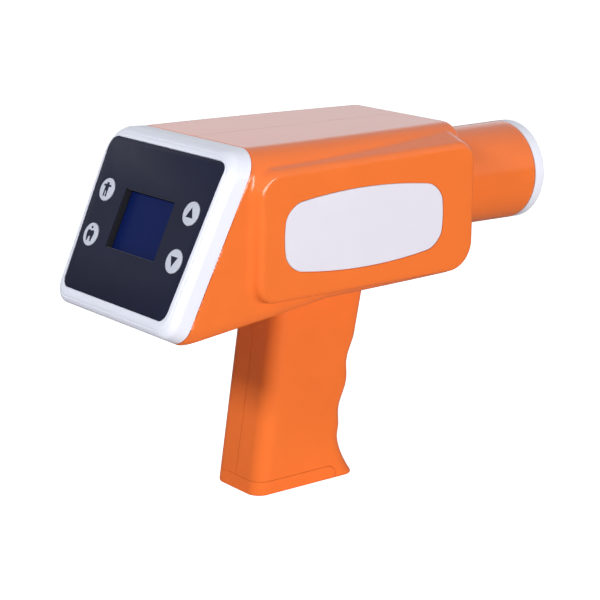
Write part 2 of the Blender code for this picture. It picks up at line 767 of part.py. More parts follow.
def build_cavity():
    """The space inside the housing, with the ribs and screw bosses left standing in it."""
    cavity = add_object("cavity_space", body_loft(WALL), None, cutter=True)
    for side in (-1, 1):
        join(cavity, "cavity_pod_%s" % ("right" if side < 0 else "left"), pod_loft(side, WALL))
    join(cavity, "cavity_grip", grip_loft(WALL))
    side_reach = pod_face_y() + CUT_OVERRUN
    rib_floor = FLOOR_Z - WALL
    rib_roof = ROOF_Z + CUT_OVERRUN
    for name, rear_x in (("rear", HEAD_RIB_REAR_X), ("front", HEAD_RIB_FRONT_X)):
        rib_box = box((rear_x, -side_reach, rib_floor), (rear_x + HEAD_RIB_THICKNESS, side_reach, rib_roof))
        rib = add_object("head_rib_" + name, rib_box, None, cutter=True)
        half = TANK_WIDTH / 2 + SEAT_GAP
        low = (rear_x - CUT_OVERRUN, -half, TANK_FLOOR_Z - SEAT_GAP)
        high = (rear_x + HEAD_RIB_THICKNESS + CUT_OVERRUN, half, TANK_ROOF_Z + SEAT_GAP)
        cut(rib, "head_seat_" + name, box(low, high))
        boolean(cavity, rib, "DIFFERENCE")
    flange_front_x = BODY_FRONT_X - WALL - SEAT_GAP
    rib_front_x = flange_front_x - CONE_FLANGE_THICKNESS - SEAT_GAP
    low = (rib_front_x - CONE_RIB_THICKNESS, -side_reach, rib_floor)
    cone_rib = add_object("cone_rib", box(low, (rib_front_x, side_reach, rib_roof)), None, cutter=True)
    hole_radius = CONE_ROOT_RADIUS - CONE_WALL + SEAT_GAP
    cut(cone_rib, "cone_rib_hole", disc(hole_radius, 0, BODY_FRONT_X, (0, 0, BEAM_Z), (1, 0, 0)))
    boolean(cavity, cone_rib, "DIFFERENCE")
    where = (0, 0, BEAM_Z)
    flange_radius = CONE_FLANGE_RADIUS + SEAT_GAP
    flange_space = disc(flange_radius, rib_front_x - STEP, flange_front_x + SEAT_GAP + STEP, where, (1, 0, 0))
    join(cavity, "cone_flange_space", flange_space)
    rib_top = grip_rib_floor_z() + GRIP_RIB_THICKNESS
    low = (GRIP_REAR_X, -GRIP_WIDTH, grip_rib_floor_z())
    high = (TRIGGER_SWITCH_FRONT_X + WALL, GRIP_WIDTH, rib_top)
    grip_rib = add_object("grip_rib", box(low, high), None, cutter=True)
    lead_half = LEAD_RADIUS + RUNNING_GAP + SEAT_GAP
    low = (LEAD_X - lead_half, -lead_half, grip_rib_floor_z() - CUT_OVERRUN)
    high = (LEAD_X + lead_half, lead_half, rib_top + CUT_OVERRUN)
    cut(grip_rib, "lead_hole", box(low, high))
    boolean(cavity, grip_rib, "DIFFERENCE")
    for index, (x, z) in enumerate(housing_screw_places()):
        shape = disc(HOUSING_BOSS_RADIUS, -side_reach, side_reach, (x, 0, z), (0, 1, 0), SMALL_ROUND_STEPS)
        boss = add_object("boss_%d" % (index + 1), shape, None, cutter=True)
        boolean(cavity, boss, "DIFFERENCE")
    return cavity


def label_outline(gap):
    """A rounded rectangle whose sides bulge out."""
    low = (LABEL_REAR_X - gap, LABEL_FLOOR_Z - gap)
    high = (LABEL_FRONT_X + gap, LABEL_ROOF_Z + gap)
    radius = LABEL_CORNER_RADIUS + gap
    plain = rounded_polygon(rectangle(*low, *high), [radius] * 4)
    points = []
    for index, (x, z) in enumerate(plain):
        next_x, next_z = plain[(index + 1) % len(plain)]
        parts = BULGE_STEPS if abs(next_x - x) > radius else 1
        for step in range(parts):
            here_x = x + (next_x - x) * step / parts
            here_z = z + (next_z - z) * step / parts
            across = 2 * (here_x - low[0]) / (high[0] - low[0]) - 1
            up = 2 * (here_z - low[1]) / (high[1] - low[1]) - 1
            here_x += LABEL_END_BULGE * across * (1 - up * up)
            here_z += LABEL_BULGE * up * (1 - across * across)
            points.append((here_x, here_z))
    return points


def body_side_y(x, z):
    """How far the body's flank lies from the middle plane."""
    rise = (z - body_floor_z(x)) / (ROOF_Z - body_floor_z(x))
    return body_half_width(x) - BODY_FLOOR_NARROWING / 2 * (1 - rise)


def build_shell(name, side, finish, cavity):
    shell = add_object(name, body_loft(), finish)
    join(shell, name + "_pod", pod_loft(side))
    join(shell, name + "_grip", grip_loft())
    boolean(shell, cavity, "DIFFERENCE")
    reach = 2 * pod_face_y()
    ends = sorted((side * SPLIT_HALF_GAP, -side * reach))
    far_corner = BODY_FRONT_X + CUT_OVERRUN
    cut(shell, name + "_split", box((-2 * far_corner, ends[0], -WALL), (2 * far_corner, ends[1], 2 * ROOF_Z)))
    hole_rear_x = BODY_FRONT_X - WALL - CUT_OVERRUN
    hole_radius = CONE_ROOT_RADIUS + RUNNING_GAP
    cut(shell, name + "_cone_hole", disc(hole_radius, hole_rear_x, far_corner, (0, 0, BEAM_Z), (1, 0, 0)))
    label_floor_y = pod_face_y() + LABEL_PROUD - LABEL_THICKNESS - SEAT_GAP
    ends = sorted((side * label_floor_y, side * (pod_face_y() + CUT_OVERRUN)))
    cut(shell, name + "_label_recess", prism(label_outline(SEAT_GAP), along_y, *ends))
    cap_reach = GRIP_WIDTH / 2 + CUT_OVERRUN
    cut(shell, name + "_cap_space", prism(cap_space_outline(), along_y, -cap_reach, cap_reach))
    cut_trigger_window(shell, name)
    for index, (x, z) in enumerate(housing_screw_places()):
        cut_screw_hole(shell, name, side, index, x, z)
    join_ears(shell, name, side)
    if side > 0:
        hole = disc(SOCKET_RADIUS + SEAT_GAP, 0, reach, (SOCKET_X, 0, SOCKET_Z), (0, 1, 0), SMALL_ROUND_STEPS)
        cut(shell, name + "_socket_hole", hole)
    return shell


def cut_trigger_window(shell, name):
    half_width = TRIGGER_WIDTH / 2 + RUNNING_GAP
    half_height = TRIGGER_HEIGHT / 2 + RUNNING_GAP
    outline = rectangle(-half_width, trigger_z() - half_height, half_width, trigger_z() + half_height)
    radii = [TRIGGER_EDGE + RUNNING_GAP] * 4
    window = prism(rounded_polygon(outline, radii), along_x, TRIGGER_FLANGE_X, TRIGGER_TIP_X + CUT_OVERRUN)
    cut(shell, name + "_trigger_window", window)


def cut_screw_hole(shell, name, side, index, x, z):
    where = (x, 0, z)
    along = (0, 1, 0)
    tag = "%s_screw_hole_%d" % (name, index + 1)
    tip_y = HOUSING_SCREW_SEAT_Y - HOUSING_SCREW_LENGTH
    radius = HOUSING_SCREW_RADIUS + SEAT_GAP
    if side < 0:
        cut(shell, tag, disc(radius, tip_y - SEAT_GAP, CUT_OVERRUN, where, along, SMALL_ROUND_STEPS))
        return
    hole_end = HOUSING_SCREW_SEAT_Y + CUT_OVERRUN
    cut(shell, tag, disc(radius, -CUT_OVERRUN, hole_end, where, along, SMALL_ROUND_STEPS))
    head_radius = HOUSING_SCREW_HEAD_RADIUS + SEAT_GAP
    reach = 2 * pod_face_y()
    head_hole = disc(head_radius, HOUSING_SCREW_SEAT_Y, reach, where, along, SMALL_ROUND_STEPS)
    cut(shell, tag + "_head", head_hole)


def join_ears(shell, name, side):
    """The ear that carries the cap's hinge pin, reaching back from the toe."""
    ends = sorted((side * EAR_INNER_Y, side * (EAR_INNER_Y + EAR_THICKNESS)))
    toe_x = CAP_HINGE_X + CAP_HEIGHT
    low = (CAP_HINGE_X - EAR_REAR_REACH, ends[0], EAR_FLOOR_Z)
    join(shell, name + "_ear", box(low, (toe_x, ends[1], EAR_ROOF_Z)))
    reach = GRIP_WIDTH / 2 - WALL
    where = (CAP_HINGE_X, 0, CAP_HINGE_Z)
    pin_hole = disc(CAP_PIN_RADIUS + SEAT_GAP, -reach, reach, where, (0, 1, 0), SMALL_ROUND_STEPS)
    cut(shell, name + "_pin_hole", pin_hole)


def build_label(name, side, finish):
    outer_y = pod_face_y() + LABEL_PROUD
    ends = sorted((side * outer_y, side * (outer_y - LABEL_THICKNESS)))
    return add_object(name, prism(label_outline(0), along_y, *ends), finish)


def build_housing_screws(finish):
    shape = screw_shape(
        HOUSING_SCREW_HEAD_RADIUS, HOUSING_SCREW_HEAD_HEIGHT, HOUSING_SCREW_RADIUS, HOUSING_SCREW_LENGTH
    )
    first = None
    for index, (x, z) in enumerate(housing_screw_places()):
        name = "housing_screw_%d" % (index + 1)
        if first is None:
            first = add_object(name, shape, finish)
            screw = first
        else:
            screw = add_copy(name, first)
        screw.location = (x, HOUSING_SCREW_SEAT_Y + SEAT_GAP, z)
        point_along(screw, (0, 1, 0))


def add_copy(name, first, parent=None):
    """Another object that shares the mesh of the first."""
    made = bpy.data.objects.new(name, first.data)
    bpy.context.scene.collection.objects.link(made)
    made.parent = parent
    return made


# Control panel


def build_panel_frame():
    """An empty whose x, y and z are the panel's u, v and n."""
    frame = bpy.data.objects.new("panel_frame", None)
    bpy.context.scene.collection.objects.link(frame)
    across = Vector((0, -1, 0))
    up = Vector((math.sin(PANEL_TILT), 0, math.cos(PANEL_TILT)))
    turn = Matrix((across, up, across.cross(up))).transposed().to_4x4()
    frame.matrix_world = Matrix.Translation((PANEL_FOOT_X, 0, PANEL_FOOT_Z)) @ turn
    return frame


def overlay_half_width():
    """Half of the overlay's width, at the middle of its height."""
    return (OVERLAY_TOP_WIDTH + OVERLAY_BOTTOM_WIDTH) / 4


def overlay_outline(gap=0.0):
    half_low = OVERLAY_BOTTOM_WIDTH / 2 + gap
    half_high = OVERLAY_TOP_WIDTH / 2 + gap
    high_v = OVERLAY_HEIGHT + gap
    corners = [(-half_low, -gap), (half_low, -gap), (half_high, high_v), (-half_high, high_v)]
    return rounded_polygon(corners, [OVERLAY_CORNER_RADIUS + gap] * 4)


def bezel_top_v(depth):
    """The bezel's upper face rises rearwards until it is level with the roof."""
    front_v = OVERLAY_HEIGHT + BEZEL_TOP_MARGIN
    back_v = (ROOF_Z - PANEL_FOOT_Z + BEZEL_DEPTH * math.sin(PANEL_TILT)) / math.cos(PANEL_TILT)
    return front_v + (back_v - front_v) * depth / BEZEL_DEPTH


def bezel_ring(depth, inset):
    half_low = OVERLAY_BOTTOM_WIDTH / 2 + BEZEL_BOTTOM_SIDE_MARGIN - inset
    half_high = OVERLAY_TOP_WIDTH / 2 + BEZEL_TOP_SIDE_MARGIN - inset
    low_v = -BEZEL_BOTTOM_MARGIN + inset
    high_v = bezel_top_v(depth) - inset
    corners = [(-half_low, low_v), (half_low, low_v), (half_high, high_v), (-half_high, high_v)]
    radii = [BEZEL_BOTTOM_CORNER_RADIUS] * 2 + [BEZEL_TOP_CORNER_RADIUS] * 2
    radii = [max(radius - inset, WALL) for radius in radii]
    return [(u, v, -depth) for u, v in rounded_polygon(corners, radii)]


def key_places():
    """Name of each key, with its place on the panel."""
    left_u = KEY_LEFT_MARGIN - overlay_half_width()
    right_u = overlay_half_width() - KEY_RIGHT_MARGIN
    return [
        ("patient", left_u, KEY_UPPER_V),
        ("tooth", left_u, KEY_LOWER_V),
        ("up", right_u, KEY_UPPER_V),
        ("down", right_u, KEY_LOWER_V),
    ]


def plate_front_depth():
    return OVERLAY_THICKNESS + SEAT_GAP


def plate_back_depth():
    return plate_front_depth() + BEZEL_PLATE_THICKNESS


def key_flange_depth():
    return plate_back_depth() + SEAT_GAP


def switch_top_depth():
    """Depth of the plunger's tip: the key's stem stops just short of it when pressed."""
    stem_tip = key_flange_depth() + KEY_FLANGE_THICKNESS + KEY_STEM_RADIUS
    return stem_tip + KEY_TRAVEL + SEAT_GAP / 2


def board_front_depth():
    return switch_top_depth() + SWITCH_PLUNGER_HEIGHT + SWITCH_BODY_HEIGHT + SEAT_GAP


def board_back_depth():
    return board_front_depth() + BOARD_THICKNESS


def board_screw_places():
    half = overlay_half_width() - CONTROL_BOARD_SIDE_MARGIN - BOARD_SCREW_INSET
    low_v = CONTROL_BOARD_LOW_V + BOARD_SCREW_INSET
    high_v = CONTROL_BOARD_HIGH_V - BOARD_SCREW_INSET
    return [(-half, low_v), (half, low_v), (half, high_v), (-half, high_v)]


def display_outline(grow, radius):
    half_width = DISPLAY_WIDTH / 2 + grow
    half_height = DISPLAY_HEIGHT / 2 + grow
    low = (DISPLAY_CENTRE_U - half_width, DISPLAY_CENTRE_V - half_height)
    high = (DISPLAY_CENTRE_U + half_width, DISPLAY_CENTRE_V + half_height)
    return rounded_polygon(rectangle(*low, *high), [radius] * 4)


def build_bezel(frame, finish):
    rings = []
    for step in range(CORNER_STEPS + 1):
        angle = math.pi / 2 * step / CORNER_STEPS
        depth = BEZEL_EDGE_RADIUS * (1 - math.cos(angle))
        rings.append(bezel_ring(depth, BEZEL_EDGE_RADIUS * (1 - math.sin(angle))))
    rings.append(bezel_ring(BEZEL_DEPTH, 0))
    bezel = add_object("control_bezel", loft(rings), finish, frame)
    lip_end = BEZEL_DEPTH + BEZEL_LIP_LENGTH
    lip = loft([bezel_ring(plate_back_depth(), BEZEL_LIP_INSET), bezel_ring(lip_end, BEZEL_LIP_INSET)])
    join(bezel, "bezel_lip", lip, frame)
    inner = BEZEL_LIP_INSET + BEZEL_LIP_THICKNESS
    hollow = loft([bezel_ring(plate_back_depth(), inner), bezel_ring(lip_end + CUT_OVERRUN, inner)])
    cut(bezel, "bezel_hollow", hollow, frame)
    pocket = prism(overlay_outline(SEAT_GAP), along_z, -plate_front_depth(), CUT_OVERRUN)
    cut(bezel, "overlay_pocket", pocket, frame)
    for index, (u, v) in enumerate(board_screw_places()):
        tag = "board_boss_%d" % (index + 1)
        start = plate_back_depth() - BEZEL_PLATE_THICKNESS / 2
        end = board_front_depth() - SEAT_GAP
        join(bezel, tag, disc(BOARD_BOSS_RADIUS, -end, -start, (u, v, 0), steps=SMALL_ROUND_STEPS), frame)
        pilot_end = board_back_depth() - BOARD_SCREW_LENGTH
        radius = BOARD_SCREW_RADIUS + SEAT_GAP
        pilot = disc(radius, -end - CUT_OVERRUN, -pilot_end, (u, v, 0), steps=SMALL_ROUND_STEPS)
        cut(bezel, tag + "_pilot", pilot, frame)
    hole_start = -plate_back_depth() - CUT_OVERRUN
    for name, u, v in key_places():
        hole = disc(KEY_RADIUS + SEAT_GAP, hole_start, 0, (u, v, 0), steps=KEY_ROUND_STEPS)
        cut(bezel, "bezel_hole_" + name, hole, frame)
    opening = prism(display_outline(0, DISPLAY_CORNER_RADIUS), along_z, hole_start, CUT_OVERRUN)
    cut(bezel, "bezel_window_hole", opening, frame)


def build_overlay(frame, finish):
    sheet = prism(overlay_outline(), along_z, -OVERLAY_THICKNESS, 0)
    overlay = add_object("panel_overlay", sheet, finish, frame)
    for name, u, v in key_places():
        hole = disc(KEY_RADIUS + SEAT_GAP, -CUT_OVERRUN, CUT_OVERRUN, (u, v, 0), steps=KEY_ROUND_STEPS)
        cut(overlay, "overlay_hole_" + name, hole, frame)
    opening = prism(display_outline(0, DISPLAY_CORNER_RADIUS), along_z, -CUT_OVERRUN, CUT_OVERRUN)
    cut(overlay, "overlay_window_hole", opening, frame)


def build_keys(frame, finish, switch_finish):
    edge = KEY_PROUD / 2
    flange_top = -key_flange_depth()
    flange_bottom = flange_top - KEY_FLANGE_THICKNESS
    stem_tip = flange_bottom - KEY_STEM_RADIUS
    profile = [
        (stem_tip, 0),
        (stem_tip, KEY_STEM_RADIUS),
        (flange_bottom, KEY_STEM_RADIUS),
        (flange_bottom, KEY_FLANGE_RADIUS),
        (flange_top, KEY_FLANGE_RADIUS),
        (flange_top, KEY_RADIUS),
        (KEY_PROUD - edge, KEY_RADIUS),
        (KEY_PROUD, KEY_RADIUS - edge),
        (KEY_PROUD, 0),
    ]
    first = None
    for name, u, v in key_places():
        if first is None:
            first = add_object(name + "_key", turned_solid(profile, KEY_ROUND_STEPS), finish, frame)
            key = first
        else:
            key = add_copy(name + "_key", first, frame)
        key.location = (u, v, 0)
        switch = build_key_switch(name + "_switch", frame, switch_finish)
        switch.location = (u, v, 0)


def build_key_switch(name, frame, finish):
    half = SWITCH_BODY_SIDE / 2
    body_top = -switch_top_depth() - SWITCH_PLUNGER_HEIGHT
    body = box((-half, -half, body_top - SWITCH_BODY_HEIGHT), (half, half, body_top))
    switch = add_object(name, body, finish, frame)
    plunger_root = body_top - SWITCH_BODY_HEIGHT / 2
    plunger = disc(SWITCH_PLUNGER_RADIUS, plunger_root, -switch_top_depth(), steps=SMALL_ROUND_STEPS)
    join(switch, name + "_plunger", plunger, switch)
    return switch


def build_display(frame, window_finish, module_finish):
    window_front = plate_back_depth() + SEAT_GAP
    window_back = window_front + WINDOW_THICKNESS
    outline = display_outline(DISPLAY_LAP, DISPLAY_CORNER_RADIUS)
    add_object("display_window", prism(outline, along_z, -window_back, -window_front), window_finish, frame)
    module_front = window_back + SEAT_GAP
    module_back = board_front_depth() - SEAT_GAP
    outline = display_outline(2 * DISPLAY_LAP, MODULE_EDGE_RADIUS)
    add_object("display_module", prism(outline, along_z, -module_back, -module_front), module_finish, frame)


def build_control_board(frame, board_finish, buzzer_finish, screw_finish):
    half = overlay_half_width() - CONTROL_BOARD_SIDE_MARGIN
    outline = rectangle(-half, CONTROL_BOARD_LOW_V, half, CONTROL_BOARD_HIGH_V)
    outline = rounded_polygon(outline, [CONTROL_BOARD_CORNER_RADIUS] * 4)
    board_shape = prism(outline, along_z, -board_back_depth(), -board_front_depth())
    board = add_object("control_board", board_shape, board_finish, frame)
    shape = board_screw_shape()
    first = None
    for index, (u, v) in enumerate(board_screw_places()):
        hole = disc(
            BOARD_SCREW_RADIUS + SEAT_GAP,
            -board_back_depth() - CUT_OVERRUN,
            -board_front_depth() + CUT_OVERRUN,
            (u, v, 0),
            steps=SMALL_ROUND_STEPS,
        )
        cut(board, "board_hole_%d" % (index + 1), hole, frame)
        name = "board_screw_%d" % (index + 1)
        if first is None:
            first = add_object(name, shape, screw_finish, frame)
            screw = first
        else:
            screw = add_copy(name, first, frame)
        screw.location = (u, v, -board_back_depth() - SEAT_GAP)
        point_along(screw, (0, 0, -1))
    buzzer_base = -board_front_depth() + SEAT_GAP
    buzzer_top = buzzer_base + BUZZER_HEIGHT
    profile = [
        (buzzer_base, 0),
        (buzzer_base, BUZZER_RADIUS),
        (buzzer_top, BUZZER_RADIUS),
        (buzzer_top, BUZZER_HOLE_RADIUS),
        (buzzer_top - BUZZER_HOLE_RADIUS, BUZZER_HOLE_RADIUS),
        (buzzer_top - BUZZER_HOLE_RADIUS, 0),
    ]
    buzzer = add_object("buzzer", turned_solid(profile, SMALL_ROUND_STEPS), buzzer_finish, frame)
    buzzer.location = (BUZZER_U, BUZZER_V, 0)


# X-ray head and its supply


def build_tank(tank_finish, screw_finish):
    half = TANK_WIDTH / 2
    body_top = TANK_ROOF_Z - TANK_LID_THICKNESS - SEAT_GAP
    outline = rounded_polygon(rectangle(TANK_REAR_X, -half, TANK_FRONT_X, half), [TANK_CORNER_RADIUS] * 4)
    tank = add_object("tank_body", prism(outline, along_z, TANK_FLOOR_Z, body_top), tank_finish)
    low = (TANK_REAR_X + TANK_WALL, -half + TANK_WALL, TANK_FLOOR_Z + TANK_WALL)
    high = (TANK_FRONT_X - TANK_WALL, half - TANK_WALL, TANK_ROOF_Z)
    cut(tank, "tank_space", box(low, high))
    lid = add_object("tank_lid", prism(outline, along_z, body_top + SEAT_GAP, TANK_ROOF_Z), tank_finish)
    inset = TANK_WALL + TANK_BOSS_RADIUS / 2
    shape = screw_shape(LID_SCREW_HEAD_RADIUS, LID_SCREW_HEAD_HEIGHT, LID_SCREW_RADIUS, LID_SCREW_LENGTH)
    first = None
    for index, (x_side, y_side) in enumerate(((-1, -1), (1, -1), (1, 1), (-1, 1))):
        end_x = TANK_REAR_X if x_side < 0 else TANK_FRONT_X
        x = end_x - x_side * inset
        y = y_side * (half - inset)
        number = index + 1
        boss_floor = body_top - 2 * LID_SCREW_LENGTH
        boss = disc(TANK_BOSS_RADIUS, boss_floor, body_top, (x, y, 0), steps=SMALL_ROUND_STEPS)
        join(tank, "tank_boss_%d" % number, boss)
        radius = LID_SCREW_RADIUS + SEAT_GAP
        tip_z = TANK_ROOF_Z - LID_SCREW_LENGTH - SEAT_GAP
        hole_roof = TANK_ROOF_Z + CUT_OVERRUN
        pilot = disc(radius, tip_z, hole_roof, (x, y, 0), steps=SMALL_ROUND_STEPS)
        cut(tank, "tank_pilot_%d" % number, pilot)
        lid_hole = disc(radius, body_top - CUT_OVERRUN, hole_roof, (x, y, 0), steps=SMALL_ROUND_STEPS)
        cut(lid, "lid_hole_%d" % number, lid_hole)
        name = "lid_screw_%d" % number
        if first is None:
            first = add_object(name, shape, screw_finish)
            screw = first
        else:
            screw = add_copy(name, first)
        screw.location = (x, y, TANK_ROOF_Z + SEAT_GAP)
    port = disc(PORT_RADIUS, TANK_FRONT_X - TANK_WALL - CUT_OVERRUN, BODY_FRONT_X, (0, 0, BEAM_Z), (1, 0, 0))
    cut(tank, "tank_port", port)
    return tank


def board_screw_shape():
    return screw_shape(
        BOARD_SCREW_HEAD_RADIUS, BOARD_SCREW_HEAD_HEIGHT, BOARD_SCREW_RADIUS, BOARD_SCREW_LENGTH
    )


def driver_screw_places():
    half = DRIVER_BOARD_WIDTH / 2 - DRIVER_SCREW_INSET
    middle = (TANK_FLOOR_Z + TANK_ROOF_Z) / 2
    rise = DRIVER_BOARD_HEIGHT / 2 - DRIVER_SCREW_INSET
    return [(-half, middle + rise), (half, middle - rise)]


def build_driver(tank, board_finish, sink_finish, screw_finish):
    """The inverter board stands off the back of the head on two bosses and carries a heat sink."""
    board_front_x = TANK_REAR_X - DRIVER_STANDOFF
    board_rear_x = board_front_x - BOARD_THICKNESS
    half = DRIVER_BOARD_WIDTH / 2
    middle = (TANK_FLOOR_Z + TANK_ROOF_Z) / 2
    rise = DRIVER_BOARD_HEIGHT / 2
    board_low = (board_rear_x, -half, middle - rise)
    board = add_object("driver_board", box(board_low, (board_front_x, half, middle + rise)), board_finish)
    shape = board_screw_shape()
    first = None
    for index, (y, z) in enumerate(driver_screw_places()):
        number = index + 1
        standoff = disc(
            BOARD_BOSS_RADIUS,
            board_front_x + SEAT_GAP,
            TANK_REAR_X + TANK_WALL / 2,
            (0, y, z),
            (1, 0, 0),
            SMALL_ROUND_STEPS,
        )
        join(tank, "standoff_%d" % number, standoff)
        radius = BOARD_SCREW_RADIUS + SEAT_GAP
        hole_rear_x = board_rear_x - CUT_OVERRUN
        hole_front_x = TANK_REAR_X + SEAT_GAP
        hole = disc(radius, hole_rear_x, hole_front_x, (0, y, z), (1, 0, 0), SMALL_ROUND_STEPS)
        hole_object = add_object("driver_hole_%d" % number, hole, None, cutter=True)
        boolean(tank, hole_object, "DIFFERENCE")
        boolean(board, hole_object, "DIFFERENCE")
        name = "driver_screw_%d" % number
        if first is None:
            first = add_object(name, shape, screw_finish)
            screw = first
        else:
            screw = add_copy(name, first)
        screw.location = (board_rear_x - SEAT_GAP, y, z)
        point_along(screw, (-1, 0, 0))
    build_heat_sink(board_rear_x - SEAT_GAP, middle, sink_finish)


def build_heat_sink(front_x, middle, finish):
    half = DRIVER_BOARD_WIDTH / 2 - HEAT_SINK_SIDE_MARGIN
    rise = DRIVER_BOARD_HEIGHT / 2 - HEAT_SINK_END_MARGIN
    rear_x = front_x - HEAT_SINK_BASE - HEAT_SINK_FIN_LENGTH
    block = box((rear_x, -half, middle - rise), (front_x, half, middle + rise))
    sink = add_object("heat_sink", block, finish)
    pitch = (2 * half - HEAT_SINK_FIN_THICKNESS) / (HEAT_SINK_FINS - 1)
    base_x = front_x - HEAT_SINK_BASE
    for index in range(HEAT_SINK_FINS - 1):
        slot_y = -half + HEAT_SINK_FIN_THICKNESS + index * pitch
        low = (rear_x - CUT_OVERRUN, slot_y, middle - rise - CUT_OVERRUN)
        high = (base_x, slot_y + pitch - HEAT_SINK_FIN_THICKNESS, middle + rise + CUT_OVERRUN)
        cut(sink, "fin_slot_%d" % (index + 1), box(low, high))


def build_tube(glass, copper, steel, holder_finish):
    """The x-ray tube lies across the head behind its port, held at both stems."""
    half = TUBE_LENGTH / 2
    neck_start = half - TUBE_NECK_RADIUS
    shoulder = neck_start - TUBE_NECK_RADIUS / 2
    outer = [
        (-half, TUBE_NECK_RADIUS),
        (-neck_start, TUBE_NECK_RADIUS),
        (-shoulder, TUBE_RADIUS),
        (shoulder, TUBE_RADIUS),
        (neck_start, TUBE_NECK_RADIUS),
        (half, TUBE_NECK_RADIUS),
    ]
    inner = [(along, radius - TUBE_WALL) for along, radius in reversed(outer)]
    tube = add_object("xray_tube", turned_ring(outer + inner), glass)
    tube.location = (TUBE_X, 0, BEAM_Z)
    point_along(tube, (0, 1, 0))
    stem_radius = TUBE_NECK_RADIUS - TUBE_WALL - SEAT_GAP
    wall_y = TANK_WIDTH / 2 - TANK_WALL
    stem_end = wall_y - HOLDER_THICKNESS
    for side, name, finish in ((1, "anode", copper), (-1, "cathode", steel)):
        where = (TUBE_X, 0, BEAM_Z)
        along = (0, side, 0)
        inner_end = half - ANODE_LENGTH
        stem = disc(stem_radius, inner_end, stem_end, where, along, SMALL_ROUND_STEPS)
        add_object("tube_" + name, stem, finish)
        holder_start = half + SEAT_GAP
        holder = add_object(
            name + "_holder",
            disc(HOLDER_RADIUS, holder_start, wall_y - SEAT_GAP, where, along, SMALL_ROUND_STEPS),
            holder_finish,
        )
        seat = disc(stem_radius + SEAT_GAP, 0, stem_end + SEAT_GAP, where, along, SMALL_ROUND_STEPS)
        cut(holder, name + "_seat", seat)


def build_transformer(core_finish, winding_finish, board_finish):
    floor_z = TANK_FLOOR_Z + TANK_WALL + SEAT_GAP
    half = CORE_WIDTH / 2
    front_x = CORE_REAR_X + CORE_DEPTH
    block = box((CORE_REAR_X, -half, floor_z), (front_x, half, floor_z + CORE_HEIGHT))
    core = add_object("transformer_core", block, core_finish)
    window_width = (CORE_WIDTH - 3 * CORE_LIMB) / 2
    for index, side in enumerate((-1, 1)):
        ends = sorted((side * CORE_LIMB / 2, side * (CORE_LIMB / 2 + window_width)))
        low = (CORE_REAR_X - CUT_OVERRUN, ends[0], floor_z + CORE_LIMB)
        high = (front_x + CUT_OVERRUN, ends[1], floor_z + CORE_HEIGHT - CORE_LIMB)
        cut(core, "core_window_%d" % (index + 1), box(low, high))
    outer_y = CORE_LIMB / 2 + SEAT_GAP + WINDING_WALL
    low_z = floor_z + CORE_LIMB + SEAT_GAP
    high_z = floor_z + CORE_HEIGHT - CORE_LIMB - SEAT_GAP
    reach = SEAT_GAP + WINDING_WALL
    outline = rectangle(CORE_REAR_X - reach, -outer_y, front_x + reach, outer_y)
    outline = rounded_polygon(outline, [WINDING_WALL / 2] * 4)
    winding = add_object("transformer_winding", prism(outline, along_z, low_z, high_z), winding_finish)
    inner_y = CORE_LIMB / 2 + SEAT_GAP
    low = (CORE_REAR_X - SEAT_GAP, -inner_y, low_z - CUT_OVERRUN)
    cut(winding, "winding_bore", box(low, (front_x + SEAT_GAP, inner_y, high_z + CUT_OVERRUN)))
    half = MULTIPLIER_WIDTH / 2
    low = (MULTIPLIER_X, -half, floor_z)
    high = (MULTIPLIER_X + BOARD_THICKNESS, half, floor_z + MULTIPLIER_HEIGHT)
    add_object("multiplier_board", box(low, high), board_finish)


# Beam path


def build_beam_path(filter_finish, lead_finish, cone_finish, ring_finish):
    axis_point = Vector((0, 0, BEAM_Z))
    filter_rear_x = TANK_FRONT_X + SEAT_GAP
    add_object(
        "port_filter",
        disc(FILTER_RADIUS, filter_rear_x, filter_rear_x + FILTER_THICKNESS, axis_point, (1, 0, 0)),
        filter_finish,
    )
    outer = CONE_ROOT_RADIUS - CONE_WALL - SEAT_GAP
    pocket_radius = FILTER_RADIUS + SEAT_GAP
    pocket_x = filter_rear_x + FILTER_THICKNESS + SEAT_GAP
    profile = [
        (filter_rear_x, pocket_radius),
        (filter_rear_x, outer),
        (COLLIMATOR_FRONT_X, outer),
        (COLLIMATOR_FRONT_X, COLLIMATOR_BORE_RADIUS),
        (pocket_x, COLLIMATOR_BORE_RADIUS),
        (pocket_x, pocket_radius),
    ]
    add_on_beam("lead_collimator", profile, lead_finish)
    flange_front_x = BODY_FRONT_X - WALL - SEAT_GAP
    flange_rear_x = flange_front_x - CONE_FLANGE_THICKNESS
    root_inner = CONE_ROOT_RADIUS - CONE_WALL
    end_inner = CONE_END_RADIUS - CONE_WALL
    profile = [
        (flange_rear_x, root_inner),
        (flange_rear_x, CONE_FLANGE_RADIUS),
        (flange_front_x, CONE_FLANGE_RADIUS),
        (flange_front_x, CONE_ROOT_RADIUS),
        (CONE_END_X, CONE_END_RADIUS),
        (CONE_END_X, end_inner),
    ]
    add_on_beam("beam_cone", profile, cone_finish)
    add_on_beam("cone_ring", ring_profile(end_inner - SEAT_GAP), ring_finish)


def ring_profile(spigot_radius):
    rear_x = CONE_END_X + SEAT_GAP
    profile = [
        (rear_x - RING_SPIGOT_LENGTH, RING_BORE_RADIUS),
        (rear_x - RING_SPIGOT_LENGTH, spigot_radius),
        (rear_x, spigot_radius),
        (rear_x, RING_RADIUS),
    ]
    for step in range(CORNER_STEPS + 1):
        angle = math.pi / 2 * step / CORNER_STEPS
        x = RING_END_X - RING_EDGE_RADIUS * (1 - math.sin(angle))
        profile.append((x, RING_RADIUS - RING_EDGE_RADIUS * (1 - math.cos(angle))))
    profile.append((RING_END_X, RING_BORE_RADIUS + RING_INNER_EDGE_RADIUS))
    profile.append((RING_END_X - RING_INNER_EDGE_RADIUS, RING_BORE_RADIUS))
    return profile


